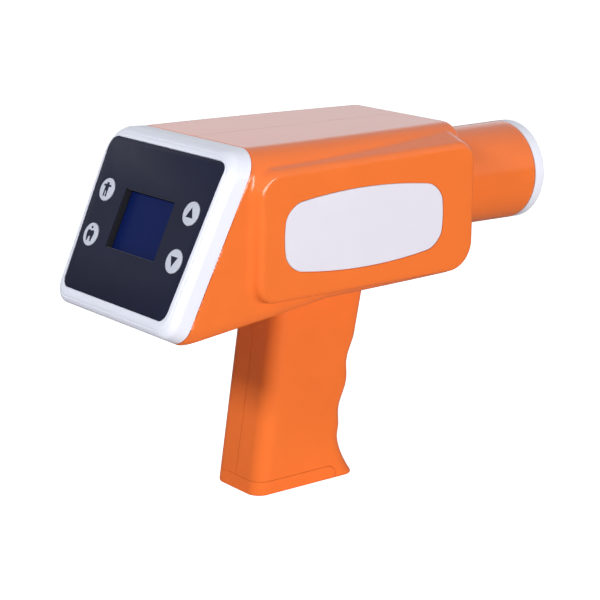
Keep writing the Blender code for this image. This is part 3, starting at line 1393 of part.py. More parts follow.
def add_on_beam(name, profile, finish):
    """A ring turned about the beam from (x, radius) points."""
    made = add_object(name, turned_ring(profile), finish)
    made.location = (0, 0, BEAM_Z)
    point_along(made, (1, 0, 0))
    return made


# Grip pieces


def build_battery(pack_finish, contact_finish):
    """The pack leans with the back of the grip, over the cap."""
    frame = bpy.data.objects.new("battery_frame", None)
    bpy.context.scene.collection.objects.link(frame)
    frame.location = (GRIP_REAR_X, 0, 0)
    frame.rotation_euler = (0, battery_lean(), 0)
    rear = WALL + BATTERY_REAR_GAP
    half = BATTERY_WIDTH / 2
    outline = rectangle(rear, -half, rear + BATTERY_DEPTH, half)
    outline = rounded_polygon(outline, [BATTERY_CORNER_RADIUS] * 4)
    pack_top = battery_floor() + BATTERY_HEIGHT
    add_object("battery_pack", prism(outline, along_z, battery_floor(), pack_top), pack_finish, frame)
    half = CONTACT_BLOCK_WIDTH / 2
    low = (rear + SEAT_GAP, -half, pack_top + SEAT_GAP)
    high = (rear + SEAT_GAP + CONTACT_BLOCK_DEPTH, half, contact_block_top())
    add_object("battery_contacts", box(low, high), contact_finish, frame)


def build_cap(cap_finish, pin_finish):
    """The cap is the grip's own foot, cut out along its side view."""
    cap = add_object("battery_cap", grip_loft(), cap_finish)
    move_origin(cap, (CAP_HINGE_X, 0, CAP_HINGE_Z))
    reach = GRIP_WIDTH / 2 + CUT_OVERRUN
    outline = add_object("cap_slab", prism(cap_outline(), along_y, -reach, reach), None, cutter=True)
    boolean(cap, outline, "INTERSECT")
    half = GRIP_WIDTH / 2 - WALL
    low = (GRIP_REAR_X + 2 * WALL, -half, CAP_FLOOR)
    cut(cap, "cap_hollow", box(low, (CAP_HOLLOW_FRONT_X, half, CAP_HEIGHT + CUT_OVERRUN)))
    front_x = CAP_HINGE_X + CAP_HEIGHT
    for side, name in ((-1, "right"), (1, "left")):
        inner = EAR_INNER_Y - RUNNING_GAP
        outer = EAR_INNER_Y + EAR_THICKNESS + RUNNING_GAP
        ends = sorted((side * inner, side * outer))
        low = (CAP_HINGE_X - EAR_SLOT_REACH, ends[0], -CUT_OVERRUN)
        cut(cap, "cap_slot_" + name, box(low, (front_x, ends[1], CAP_HEIGHT + CUT_OVERRUN)))
    pin_half = CAP_PIN_LENGTH / 2
    where = (CAP_HINGE_X, 0, CAP_HINGE_Z)
    hole_half = pin_half + SEAT_GAP
    hole = disc(CAP_PIN_RADIUS + SEAT_GAP, -hole_half, hole_half, where, (0, 1, 0), SMALL_ROUND_STEPS)
    cut(cap, "cap_pin_hole", hole)
    pin = disc(CAP_PIN_RADIUS, -pin_half, pin_half, (0, 0, 0), (0, 1, 0), SMALL_ROUND_STEPS)
    pin_object = add_object("cap_pin", pin, pin_finish)
    pin_object.location = where
    return cap


def build_trigger(trigger_finish, spring_finish, switch_finish):
    """The trigger slides rearward in the front of the grip against its spring."""
    half_height = TRIGGER_HEIGHT / 2
    half_width = TRIGGER_WIDTH / 2
    front_x = TRIGGER_TIP_X
    flat_half = half_width - TRIGGER_EDGE
    sections = ((-half_width, TRIGGER_EDGE), (-flat_half, 0), (flat_half, 0), (half_width, TRIGGER_EDGE))
    rings = [trigger_ring(y, inset, half_height, front_x) for y, inset in sections]
    trigger = add_object("exposure_trigger", loft(rings), trigger_finish)
    move_origin(trigger, (TRIGGER_FLANGE_X, 0, trigger_z()))
    lap = TRIGGER_FLANGE_LAP
    flange_front = TRIGGER_FLANGE_X + TRIGGER_FLANGE_THICKNESS
    low = (TRIGGER_FLANGE_X, -half_width - lap, trigger_z() - half_height - lap)
    high = (flange_front, half_width + lap, trigger_z() + half_height + lap)
    join(trigger, "trigger_flange", box(low, high))
    tip_x = TRIGGER_SWITCH_FRONT_X + TRIGGER_PLUNGER_LENGTH + TRIGGER_TRAVEL + SEAT_GAP
    post = disc(TRIGGER_POST_RADIUS, tip_x, flange_front, (0, 0, trigger_z()), (1, 0, 0), SMALL_ROUND_STEPS)
    join(trigger, "trigger_post", post)
    build_spring(spring_finish)
    build_trigger_switch(switch_finish)
    return trigger


def trigger_ring(y, inset, half_height, front_x):
    """Side view of the finger pad: its front is hollowed for the fingertip."""
    rear_x = TRIGGER_FLANGE_X + TRIGGER_FLANGE_THICKNESS / 2
    low_z = trigger_z() - half_height + inset
    high_z = trigger_z() + half_height - inset
    ring = [(rear_x, y, low_z)]
    steps = 2 * CORNER_STEPS
    for step in range(steps + 1):
        share = 2 * step / steps - 1
        z = trigger_z() + share * (half_height - inset)
        hollow = TRIGGER_TIP_HOLLOW * (1 - share * share)
        rounded = TRIGGER_HEIGHT / 2 * max(abs(share) - 1 + 2 / steps, 0)
        ring.append((front_x - inset - hollow - rounded, y, z))
    ring.append((rear_x, y, high_z))
    return ring


def build_spring(finish):
    start_x = TRIGGER_SWITCH_FRONT_X + SEAT_GAP + SPRING_WIRE_RADIUS
    end_x = TRIGGER_FLANGE_X - SEAT_GAP - SPRING_WIRE_RADIUS
    count = SPRING_TURNS * SPRING_TURN_STEPS
    rings = []
    for step in range(count + 1):
        turn = math.tau * step / SPRING_TURN_STEPS
        x = start_x + (end_x - start_x) * step / count
        ring = []
        for wire_step in range(SPRING_WIRE_STEPS):
            angle = math.tau * wire_step / SPRING_WIRE_STEPS
            reach = SPRING_COIL_RADIUS + SPRING_WIRE_RADIUS * math.cos(angle)
            wire_x = x + SPRING_WIRE_RADIUS * math.sin(angle)
            ring.append((wire_x, reach * math.cos(turn), trigger_z() + reach * math.sin(turn)))
        rings.append(ring)
    add_object("trigger_spring", loft(rings), finish)


def build_trigger_switch(finish):
    rear_x = TRIGGER_SWITCH_FRONT_X - TRIGGER_SWITCH_LENGTH
    half_width = TRIGGER_SWITCH_WIDTH / 2
    half_height = TRIGGER_SWITCH_HEIGHT / 2
    low = (rear_x, -half_width, trigger_z() - half_height)
    high = (TRIGGER_SWITCH_FRONT_X, half_width, trigger_z() + half_height)
    switch = add_object("trigger_switch", box(low, high), finish)
    tip_x = TRIGGER_SWITCH_FRONT_X + TRIGGER_PLUNGER_LENGTH
    root_x = rear_x + half_width
    where = (0, 0, trigger_z())
    plunger = disc(TRIGGER_PLUNGER_RADIUS, root_x, tip_x, where, (1, 0, 0), SMALL_ROUND_STEPS)
    join(switch, "trigger_plunger", plunger)


# Inlet and leads


def build_socket(finish):
    """Charging inlet in the left side: a barrel with a flange behind the wall and a centre pin."""
    outer_y = body_side_y(SOCKET_X, SOCKET_Z)
    flange_y = body_side_y(SOCKET_X, SOCKET_Z - SOCKET_FLANGE_RADIUS) - WALL - 2 * SEAT_GAP
    rear_y = outer_y - SOCKET_LENGTH
    bore_y = outer_y - SOCKET_BORE_DEPTH
    pin_tip_y = outer_y - SOCKET_PIN_RADIUS
    profile = [
        (rear_y, 0),
        (rear_y, SOCKET_RADIUS),
        (flange_y - SOCKET_FLANGE_THICKNESS, SOCKET_RADIUS),
        (flange_y - SOCKET_FLANGE_THICKNESS, SOCKET_FLANGE_RADIUS),
        (flange_y, SOCKET_FLANGE_RADIUS),
        (flange_y, SOCKET_RADIUS),
        (outer_y, SOCKET_RADIUS),
        (outer_y, SOCKET_BORE_RADIUS),
        (bore_y, SOCKET_BORE_RADIUS),
        (bore_y, SOCKET_PIN_RADIUS),
        (pin_tip_y, SOCKET_PIN_RADIUS),
        (pin_tip_y, 0),
    ]
    socket = add_object("charging_socket", turned_solid(profile, SMALL_ROUND_STEPS), finish)
    socket.location = (SOCKET_X, 0, SOCKET_Z)
    point_along(socket, (0, 1, 0))


def build_leads(lead_finish, ribbon_finish):
    """The battery's lead, from its contact block up to the inverter board."""
    lean = battery_lean()
    block_top = contact_block_top()
    across = (LEAD_X - GRIP_REAR_X - block_top * math.sin(lean)) / math.cos(lean)
    start_z = block_top * math.cos(lean) - (across - LEAD_RADIUS) * math.sin(lean) + SEAT_GAP
    end_x = TANK_REAR_X - DRIVER_STANDOFF - BOARD_THICKNESS / 2
    end_z = (TANK_FLOOR_Z + TANK_ROOF_Z - DRIVER_BOARD_HEIGHT) / 2 - SEAT_GAP
    path = []
    for step in range(LEAD_STEPS + 1):
        share = step / LEAD_STEPS
        bend = (1 - math.cos(math.pi * share**2)) / 2
        path.append((LEAD_X + bend * (end_x - LEAD_X), 0, start_z + share * (end_z - start_z)))
    add_object("battery_lead", tube_along(path, LEAD_RADIUS, SMALL_ROUND_STEPS // 2), lead_finish)
    build_ribbon(ribbon_finish)


def build_ribbon(finish):
    """Flat cable from the control board to the inverter board, in one easy curve."""
    start_x, start_z = panel_point(RIBBON_V, board_back_depth() + SEAT_GAP + RIBBON_THICKNESS)
    end_x = TANK_REAR_X - DRIVER_STANDOFF - BOARD_THICKNESS - SEAT_GAP
    end_z = (TANK_FLOOR_Z + TANK_ROOF_Z - DRIVER_BOARD_HEIGHT) / 2 + RIBBON_RISE
    half = RIBBON_WIDTH / 2
    rings = []
    for step in range(RIBBON_STEPS + 1):
        share = step / RIBBON_STEPS
        bend = (1 - math.cos(math.pi * share)) / 2
        x = start_x + share * (end_x - start_x)
        z = start_z + bend * (end_z - start_z)
        top_z = z + RIBBON_THICKNESS
        rings.append([(x, -half, z), (x, half, z), (x, half, top_z), (x, -half, top_z)])
    add_object("ribbon_cable", loft(rings), finish)


def main():
    clear_scene()
    orange = material("housing_orange", (0.93, 0.20, 0.04), 0.28)
    white = material("trim_white", (0.86, 0.87, 0.93), 0.30)
    plate_white = material("plate_white", (0.80, 0.80, 0.88), 0.35)
    dark = material("overlay_dark", (0.03, 0.03, 0.06), 0.30)
    clear = material("window_clear", (0.05, 0.08, 0.30), 0.08, alpha=0.5)
    display = material("display_blue", (0.01, 0.03, 0.12), 0.20)
    key_white = material("key_white", (0.72, 0.72, 0.80), 0.40)
    board_green = material("board_green", (0.02, 0.18, 0.07), 0.45)
    black = material("plastic_black", (0.02, 0.02, 0.02), 0.50)
    steel = material("screw_steel", (0.60, 0.60, 0.62), 0.30, metallic=1.0)
    aluminium = material("head_aluminium", (0.75, 0.76, 0.78), 0.35, metallic=1.0)
    lead = material("collimator_lead", (0.30, 0.31, 0.34), 0.55, metallic=0.8)
    glass = material("tube_glass", (0.80, 0.90, 0.90), 0.05, alpha=0.4)
    copper = material("tube_copper", (0.80, 0.35, 0.18), 0.30, metallic=1.0)
    ferrite = material("core_ferrite", (0.08, 0.08, 0.09), 0.60)
    tape = material("winding_tape", (0.75, 0.55, 0.10), 0.45)
    wrap = material("battery_wrap", (0.05, 0.20, 0.55), 0.40)
    insulator = material("holder_plastic", (0.85, 0.84, 0.80), 0.50)
    red = material("lead_red", (0.55, 0.03, 0.03), 0.45)
    grey = material("ribbon_grey", (0.55, 0.56, 0.58), 0.50)

    cavity = build_cavity()
    build_shell("right_shell", -1, orange, cavity)
    build_shell("left_shell", 1, orange, cavity)
    build_label("right_label", -1, plate_white)
    build_label("left_label", 1, plate_white)
    build_housing_screws(steel)

    panel = build_panel_frame()
    build_bezel(panel, white)
    build_overlay(panel, dark)
    build_keys(panel, key_white, black)
    build_display(panel, clear, display)
    build_control_board(panel, board_green, black, steel)

    tank = build_tank(aluminium, steel)
    build_driver(tank, board_green, aluminium, steel)
    build_tube(glass, copper, steel, insulator)
    build_transformer(ferrite, tape, board_green)
    build_beam_path(aluminium, lead, orange, white)

    build_battery(wrap, black)
    build_cap(orange, steel)
    build_trigger(black, steel, black)
    build_socket(black)
    build_leads(red, grey)


main()
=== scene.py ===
"""Portable dental x-ray unit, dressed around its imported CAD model.

All lengths are in metres, in the frame of the CAD: +X is the way the beam leaves, -Y is the side
that the camera sees, +Z is up. Panel pieces are drawn in the panel's own axes: u to the right as
the user sees it, v up the slope, n straight out of the panel.
"""

import itertools
import json
import math

import bmesh
import bpy
import numpy as np
from mathutils import Matrix, Vector


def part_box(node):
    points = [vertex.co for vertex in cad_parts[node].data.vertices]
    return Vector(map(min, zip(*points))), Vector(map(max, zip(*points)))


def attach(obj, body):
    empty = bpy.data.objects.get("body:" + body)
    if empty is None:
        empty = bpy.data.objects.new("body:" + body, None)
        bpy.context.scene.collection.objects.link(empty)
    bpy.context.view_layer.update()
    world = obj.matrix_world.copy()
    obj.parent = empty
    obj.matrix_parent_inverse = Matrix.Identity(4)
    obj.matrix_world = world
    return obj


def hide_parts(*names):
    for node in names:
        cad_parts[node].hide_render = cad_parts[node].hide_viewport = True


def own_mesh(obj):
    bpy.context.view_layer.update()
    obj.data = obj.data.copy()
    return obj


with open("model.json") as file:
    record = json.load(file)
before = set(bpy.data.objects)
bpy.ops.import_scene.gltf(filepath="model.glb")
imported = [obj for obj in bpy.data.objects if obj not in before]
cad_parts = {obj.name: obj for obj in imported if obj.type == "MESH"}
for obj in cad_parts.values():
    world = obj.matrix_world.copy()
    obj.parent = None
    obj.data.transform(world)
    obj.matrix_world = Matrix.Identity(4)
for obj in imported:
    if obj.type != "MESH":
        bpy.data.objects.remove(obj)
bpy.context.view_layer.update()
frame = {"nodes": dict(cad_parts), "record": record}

# Common values
WALL = 0.0026
SEAT_GAP = 0.0003
RUNNING_GAP = 0.0004
CUT_OVERRUN = 0.003
CORNER_STEPS = 14
EDGE_STEPS = 8
ROUND_STEPS = 128
SMALL_HOLE_STEPS = 48
SHARP_ANGLE = math.radians(30)
HOUSING_GRID = 0.0009
CAVITY_GRID = 0.0020
CAP_GRID = 0.0006
GRID_REAR_X = -0.1120
SLOPE_REACH = 0.00001
LEAST_STEEPNESS = 0.05
SETTLE_ROUNDS = 4
RELAX_ROUNDS = 3
RESETTLE_ROUNDS = 2

# Panel
PANEL_TILT = math.radians(24.9)
PANEL_FOOT_X = -0.1061
PANEL_FOOT_Z = 0.1120
OVERLAY_HEIGHT = 0.0803
OVERLAY_TOP_WIDTH = 0.0990
OVERLAY_BOTTOM_WIDTH = 0.0910
OVERLAY_CORNER_RADIUS = 0.0055
OVERLAY_THICKNESS = 0.0008
BEZEL_TOP_MARGIN = 0.0056
BEZEL_BOTTOM_MARGIN = 0.0075
BEZEL_TOP_SIDE_MARGIN = 0.0051
BEZEL_BOTTOM_SIDE_MARGIN = 0.0060
BEZEL_TOP_CORNER_RADIUS = 0.0138
BEZEL_BOTTOM_CORNER_RADIUS = 0.0090
BEZEL_EDGE_RADIUS = 0.0050
BEZEL_CORNER_SOFTENING = 0.0035
BEZEL_CREASE_INSET = 0.0028
BEZEL_CREASE_HALF_WIDTH = 0.0004
BEZEL_CREASE_DEPTH = 0.0003
BEZEL_DEPTH = 0.0117
BEZEL_PLATE_THICKNESS = 0.0025
BEZEL_LIP_LENGTH = 0.0040
BEZEL_LIP_INSET = 0.0052
BEZEL_LIP_THICKNESS = 0.0018
KEY_RADIUS = 0.0060
KEY_PROUD = 0.0007
KEY_FLANGE_RADIUS = 0.0074
KEY_FLANGE_THICKNESS = 0.0010
KEY_STEM_RADIUS = 0.0016
KEY_DOME_SHARE = 0.35
KEY_FACE_STEPS = 10
KEY_STEPS = 96
KEY_HOLE_STEPS = 64
KEY_LEFT_MARGIN = 0.0109
KEY_RIGHT_MARGIN = 0.0105
KEY_UPPER_V = 0.0527
KEY_LOWER_V = 0.0288
DISPLAY_WIDTH = 0.0427
DISPLAY_HEIGHT = 0.0310
DISPLAY_CENTRE_U = 0.0002
DISPLAY_CENTRE_V = 0.0407
DISPLAY_CORNER_RADIUS = 0.0008
LINER_THICKNESS = 0.0004
ICON_THICKNESS = 0.00015
ICON_DOT_SHARE = 0.12
ICON_DOT_HEIGHT_SHARE = 0.60
ICON_DOT_STEPS = 16

# Housing
ROOF_Z = 0.1892
FLOOR_Z = 0.1100
FLOOR_SLOPE_SHARE = 0.12
FLOOR_LEVEL_X = -0.0080
BODY_FRONT_X = 0.0800
BODY_REAR_WIDTH = 0.1084
BODY_FRONT_WIDTH = 0.0960
BODY_TAPER_START_X = -0.0400
BODY_FLOOR_NARROWING = 0.0052
BODY_TAPER_POWER_SHARE = 1.6
ROOF_EDGE_RADIUS = 0.0139
FLOOR_EDGE_RADIUS = 0.0075
FRONT_EDGE_RADIUS = 0.0034
FLOOR_EASE_LENGTH = 0.0110
FLOOR_EASE_DEPTH = 0.0022
SPLIT_HALF_GAP = 0.00010
SPLIT_MARGIN = 0.003
POD_FACE_Y = 0.0580
POD_REAR_X = -0.0588
POD_FRONT_X = 0.0794
POD_FLOOR_Z = 0.1148
POD_ROOF_REAR_Z = 0.1786
POD_ROOF_FRONT_Z = 0.1811
POD_REAR_RADIUS = 0.0110
POD_FRONT_ROOF_RADIUS = 0.0100
POD_FRONT_FLOOR_RADIUS = 0.0150
POD_EDGE_RADIUS = 0.0026
POD_SHOULDER_SLOPE_SHARE = 0.35
POD_UNDERSIDE_SLOPE_SHARE = 0.08
POD_REAR_SLOPE_SHARE = 0.25
POD_REAR_SLOPE_DEPTH = 0.0060
POD_DEPTH = 0.0200
POD_FILLET = 0.0006
POD_REAR_FILLET = 0.0030
POD_REAR_FILLET_REACH = 0.0060
GRIP_FILLET = 0.0020

# Plates in the pods
LABEL_REAR_X = -0.0420
LABEL_FRONT_X = 0.0552
LABEL_FLOOR_Z = 0.1300
LABEL_ROOF_Z = 0.1618
LABEL_CORNER_RADIUS = 0.0082
LABEL_BULGE = 0.0042
LABEL_END_BULGE = 0.0022
LABEL_THICKNESS = 0.0008
LABEL_PROUD = 0.0002
LABEL_EDGE = 0.0003
BULGE_STEPS = 32

# Grip and cap
GRIP_REAR_X = -0.0321
GRIP_REAR_SLOPE_SHARE = 0.147
GRIP_FRONT_X = 0.0212
GRIP_FRONT_SLOPE_SHARE = 0.20
GRIP_WIDTH = 0.0380
GRIP_CORNER_RADIUS = 0.0082
GRIP_TOP_Z = 0.1250
FINGER_PITCH = 0.0260
FINGER_DEPTH = 0.0022
FINGER_LOW_Z = 0.0260
FINGER_GROOVES = 2
TOE_LENGTH = 0.0150
TOE_HEIGHT = 0.0240
TOE_POWER_SHARE = 1.5
FOOT_EDGE_RADIUS = 0.0012
CAP_HEIGHT = 0.0076
CAP_HINGE_X = 0.0155
CAP_HINGE_Z = 0.0022
CAP_FLOOR = 0.0024
CAP_SEAM = 0.0002
CAP_HOLLOW_FRONT_X = 0.0060
EAR_INNER_Y = 0.0085
EAR_THICKNESS = 0.0035
EAR_REAR_REACH = 0.0024
EAR_FLOOR_Z = 0.0004
EAR_ROOF_Z = 0.0046
EAR_SLOT_REACH = 0.0056
CAP_PIN_RADIUS = 0.0010
CAP_PIN_LENGTH = 0.0290
CAP_PIN_STEPS = 32

# Trigger
TRIGGER_HEIGHT = 0.0170
TRIGGER_WIDTH = 0.0130
TRIGGER_EDGE = 0.0018
TRIGGER_TIP_X = 0.0452
TRIGGER_FLANGE_X = 0.0315

# Beam cone and ring
BEAM_Z = 0.1505
CONE_ROOT_RADIUS = 0.0266
CONE_END_RADIUS = 0.0274
CONE_WALL = 0.0028
CONE_END_X = 0.1544
CONE_FLANGE_RADIUS = 0.0282
CONE_FLANGE_THICKNESS = 0.0024
CONE_LIP_RADIUS = 0.0006
CONE_LIP_STEPS = 6
CONE_STEPS = 24
RING_RADIUS = 0.0274
RING_BORE_RADIUS = 0.0212
RING_EDGE_RADIUS = 0.0018
RING_INNER_EDGE_RADIUS = 0.0012
RING_END_X = 0.1620
RING_SPIGOT_LENGTH = 0.0050

# Screws and inlet
HOUSING_SCREWS = 6
HOUSING_SCREW_HEAD_RADIUS = 0.0024
SOCKET_X = -0.0740
SOCKET_Z = 0.1280
SOCKET_RADIUS = 0.0042

# Camera, fitted to the photograph
CAMERA_PLACE = (-0.56462, -0.73121, 0.33588)
CAMERA_AZIMUTH = math.radians(-38.199)
CAMERA_ELEVATION = math.radians(14.470)
CAMERA_ROLL = math.radians(0.529)
CAMERA_LENS = 109.62
CAMERA_SENSOR = 36
CAMERA_CLIP_START = 0.01

# Floor, sky and lamps
FLOOR_SIZE = 12
FLOOR_SHADE = 0.85
FLOOR_LIFT = 0.86
FLOOR_MIRRORED = 0.15
WORLD_COLOUR = (0.92, 0.95, 1.0)
WORLD_LIGHT = 0.19
WORLD_MIRRORED = 0.95
WORLD_SEEN = 1.10
SKY_FADE_LOW = 0.03
SKY_FADE_HIGH = 0.16
STAGE_TARGET = (0, 0, 0.11)
FRONT_LAMP_PLACE = (0.30, -3.00, 0.22)
FRONT_LAMP_SIZE = (2.6, 0.8)
FRONT_LAMP_POWER = 86
FRONT_LAMP_COLOUR = (1, 1, 1)
LEFT_LAMP_PLACE = (-1.45, -0.25, 1.00)
LEFT_LAMP_SIZE = (0.45, 0.3)
LEFT_LAMP_POWER = 16
LEFT_LAMP_COLOUR = (0.95, 0.97, 1.0)
REAR_LAMP_PLACE = (1.25, 1.60, 0.72)
REAR_LAMP_SIZE = (1.8, 0.9)
REAR_LAMP_POWER = 1.7
REAR_LAMP_COLOUR = (0.88, 0.93, 1.0)

# Texture of the finishes
CLOUD_SCALE = 35
CLOUD_DETAIL = 2
CLOUD_LOW = 0.3
CLOUD_HIGH = 0.7
GLOSS_SCALE = 120
GLOSS_DETAIL = 4
GLOSS_SPREAD_SHARE = 0.15
GRAIN_DETAIL = 3
GRAIN_HEIGHT = 0.0002


# Shader nodes


def reckon(tree, operation, first, second):
    """A maths node on one socket and another socket or a number."""
    node = tree.nodes.new("ShaderNodeMath")
    node.operation = operation
    tree.links.new(first, node.inputs[0])
    if isinstance(second, bpy.types.NodeSocket):
        tree.links.new(second, node.inputs[1])
    else:
        node.inputs[1].default_value = second
    return node.outputs[0]


def map_range(tree, value, low, high, first=0, last=1):
    """Maps the range of a value from first to last onto the range from low to high."""
    node = tree.nodes.new("ShaderNodeMapRange")
    node.inputs["From Min"].default_value = first
    node.inputs["From Max"].default_value = last
    node.inputs["To Min"].default_value = low
    node.inputs["To Max"].default_value = high
    tree.links.new(value, node.inputs["Value"])
    return node.outputs["Result"]


def noise(tree, scale, detail):
    place = tree.nodes.new("ShaderNodeTexCoord")
    texture = tree.nodes.new("ShaderNodeTexNoise")
    texture.inputs["Scale"].default_value = scale
    texture.inputs["Detail"].default_value = detail
    tree.links.new(place.outputs["Object"], texture.inputs["Vector"])
    return texture.outputs["Fac"]


def ramp_colour(tree, factor, colours):
    ramp = tree.nodes.new("ShaderNodeValToRGB")
    ramp.color_ramp.elements[0].position = CLOUD_LOW
    ramp.color_ramp.elements[1].position = CLOUD_HIGH
    for element, colour in zip(ramp.color_ramp.elements, colours):
        element.color = (*colour, 1)
    tree.links.new(factor, ramp.inputs["Fac"])
    return ramp.outputs["Color"]


def bump(tree, height, strength):
    node = tree.nodes.new("ShaderNodeBump")
    node.inputs["Strength"].default_value = strength
    node.inputs["Distance"].default_value = GRAIN_HEIGHT
    tree.links.new(height, node.inputs["Height"])
    return node.outputs["Normal"]


def show_both(tree, first, second, output_kind):
    """Adds two shaders together as what the tree shows."""
    both = tree.nodes.new("ShaderNodeAddShader")
    output = tree.nodes.new(output_kind)
    tree.links.new(first.outputs[0], both.inputs[0])
    tree.links.new(second.outputs[0], both.inputs[1])
    tree.links.new(both.outputs[0], output.inputs["Surface"])


# Stage


def add_camera():
    azimuth = CAMERA_AZIMUTH
    elevation = CAMERA_ELEVATION
    back = Vector((
        math.sin(azimuth) * math.cos(elevation),
        -math.cos(azimuth) * math.cos(elevation),
        math.sin(elevation),
    ))
    right = (-back).cross(Vector((0, 0, 1))).normalized()
    up = right.cross(-back)
    turned_right = right * math.cos(CAMERA_ROLL) + up * math.sin(CAMERA_ROLL)
    turned_up = up * math.cos(CAMERA_ROLL) - right * math.sin(CAMERA_ROLL)
    data = bpy.data.cameras.new("camera")
    data.lens = CAMERA_LENS
    data.sensor_width = CAMERA_SENSOR
    data.clip_start = CAMERA_CLIP_START
    camera = bpy.data.objects.new("camera", data)
    bpy.context.scene.collection.objects.link(camera)
    turn = Matrix((turned_right, turned_up, back)).transposed().to_4x4()
    camera.matrix_world = Matrix.Translation(CAMERA_PLACE) @ turn
    bpy.context.scene.camera = camera


def add_area_light(name, place, size, power, colour):
    data = bpy.data.lights.new(name, "AREA")
    data.shape = "RECTANGLE"
    data.size = size[0]
    data.size_y = size[1]
    data.energy = power
    data.color = colour
    light = bpy.data.objects.new(name, data)
    bpy.context.scene.collection.objects.link(light)
    light.location = place
    light.rotation_mode = "QUATERNION"
    light.rotation_quaternion = (Vector(place) - Vector(STAGE_TARGET)).to_track_quat("Z", "Y")


def seen_background(tree, camera_strength, mirror_strength, share=None):
    """The strength of a glow for rays from the camera, and for mirror and glass rays."""
    path = tree.nodes.new("ShaderNodeLightPath")
    mirror = reckon(tree, "MAXIMUM", path.outputs["Is Glossy Ray"], path.outputs["Is Transmission Ray"])
    if share is not None:
        mirror = reckon(tree, "MULTIPLY", mirror, share)
    mirror = reckon(tree, "MULTIPLY", mirror, mirror_strength)
    camera = reckon(tree, "MULTIPLY", path.outputs["Is Camera Ray"], camera_strength)
    return reckon(tree, "MAXIMUM", camera, mirror)


def sky_share(tree):
    """How bright the mirrored sky is at each height: it fades towards the horizon."""
    direction = tree.nodes.new("ShaderNodeTexCoord")
    height = tree.nodes.new("ShaderNodeSeparateXYZ")
    tree.links.new(direction.outputs["Generated"], height.inputs[0])
    return map_range(tree, height.outputs["Z"], 0, 1, SKY_FADE_LOW, SKY_FADE_HIGH)


def add_world():
    """A dim sky that lights the object, with a brighter one for the camera and in reflections."""
    world = bpy.data.worlds.new("studio")
    bpy.context.scene.world = world
    world.use_nodes = True
    tree = world.node_tree
    tree.nodes.clear()
    lit = tree.nodes.new("ShaderNodeBackground")
    lit.inputs["Color"].default_value = (*WORLD_COLOUR, 1)
    lit.inputs["Strength"].default_value = WORLD_LIGHT
    seen = tree.nodes.new("ShaderNodeBackground")
    seen.inputs["Color"].default_value = (*WORLD_COLOUR, 1)
    camera_strength = WORLD_SEEN - WORLD_LIGHT
    mirror_strength = WORLD_MIRRORED - WORLD_LIGHT
    strength = seen_background(tree, camera_strength, mirror_strength, sky_share(tree))
    tree.links.new(strength, seen.inputs["Strength"])
    show_both(tree, lit, seen, "ShaderNodeOutputWorld")


def floor_finish():
    """Matt white, lifted for the camera so that only the shadow shows on it, and dim in reflections."""
    made = bpy.data.materials.new("floor_white")
    made.use_nodes = True
    tree = made.node_tree
    tree.nodes.clear()
    matt = tree.nodes.new("ShaderNodeBsdfDiffuse")
    path = tree.nodes.new("ShaderNodeLightPath")
    shade = map_range(tree, path.outputs["Is Glossy Ray"], FLOOR_SHADE, 0)
    tree.links.new(shade, matt.inputs["Color"])
    lift = tree.nodes.new("ShaderNodeEmission")
    lift.inputs["Color"].default_value = (1, 1, 1, 1)
    tree.links.new(seen_background(tree, FLOOR_LIFT, FLOOR_MIRRORED), lift.inputs["Strength"])
    show_both(tree, matt, lift, "ShaderNodeOutputMaterial")
    return made


def add_floor():
    half = FLOOR_SIZE / 2
    mesh = bpy.data.meshes.new("floor")
    corners = [(x, y, 0) for x, y in rectangle(-half, -half, half, half)]
    mesh.from_pydata(corners, [], [range(len(corners))])
    mesh.materials.append(floor_finish())
    floor = bpy.data.objects.new("floor", mesh)
    bpy.context.scene.collection.objects.link(floor)


def add_stage():
    bpy.context.scene.view_settings.view_transform = "Standard"
    add_camera()
    add_world()
    add_floor()
    add_area_light("front_box", FRONT_LAMP_PLACE, FRONT_LAMP_SIZE, FRONT_LAMP_POWER, FRONT_LAMP_COLOUR)
    add_area_light("left_box", LEFT_LAMP_PLACE, LEFT_LAMP_SIZE, LEFT_LAMP_POWER, LEFT_LAMP_COLOUR)
    add_area_light("rear_box", REAR_LAMP_PLACE, REAR_LAMP_SIZE, REAR_LAMP_POWER, REAR_LAMP_COLOUR)


# Finishes


def surface(
    name, colour, roughness, metallic=0.0, spread=0.04,
    grain=900, grain_strength=0.05, specular=0.5, alpha=1.0,
):
    """A moulded, cast or rolled surface: cloudy colour, uneven gloss and a fine grain."""
    made = bpy.data.materials.new(name)
    made.use_nodes = True
    tree = made.node_tree
    shader = tree.nodes["Principled BSDF"]
    darker = tuple(value * (1 - spread) for value in colour)
    lighter = tuple(min(value * (1 + spread), 1) for value in colour)
    clouds = ramp_colour(tree, noise(tree, CLOUD_SCALE, CLOUD_DETAIL), (darker, lighter))
    tree.links.new(clouds, shader.inputs["Base Color"])
    smooth = roughness * (1 - GLOSS_SPREAD_SHARE)
    rough = roughness * (1 + GLOSS_SPREAD_SHARE)
    gloss = map_range(tree, noise(tree, GLOSS_SCALE, GLOSS_DETAIL), smooth, rough)
    tree.links.new(gloss, shader.inputs["Roughness"])
    tree.links.new(bump(tree, noise(tree, grain, GRAIN_DETAIL), grain_strength), shader.inputs["Normal"])
    shader.inputs["Metallic"].default_value = metallic
    shader.inputs["Specular IOR Level"].default_value = specular
    shader.inputs["Alpha"].default_value = alpha
    return made


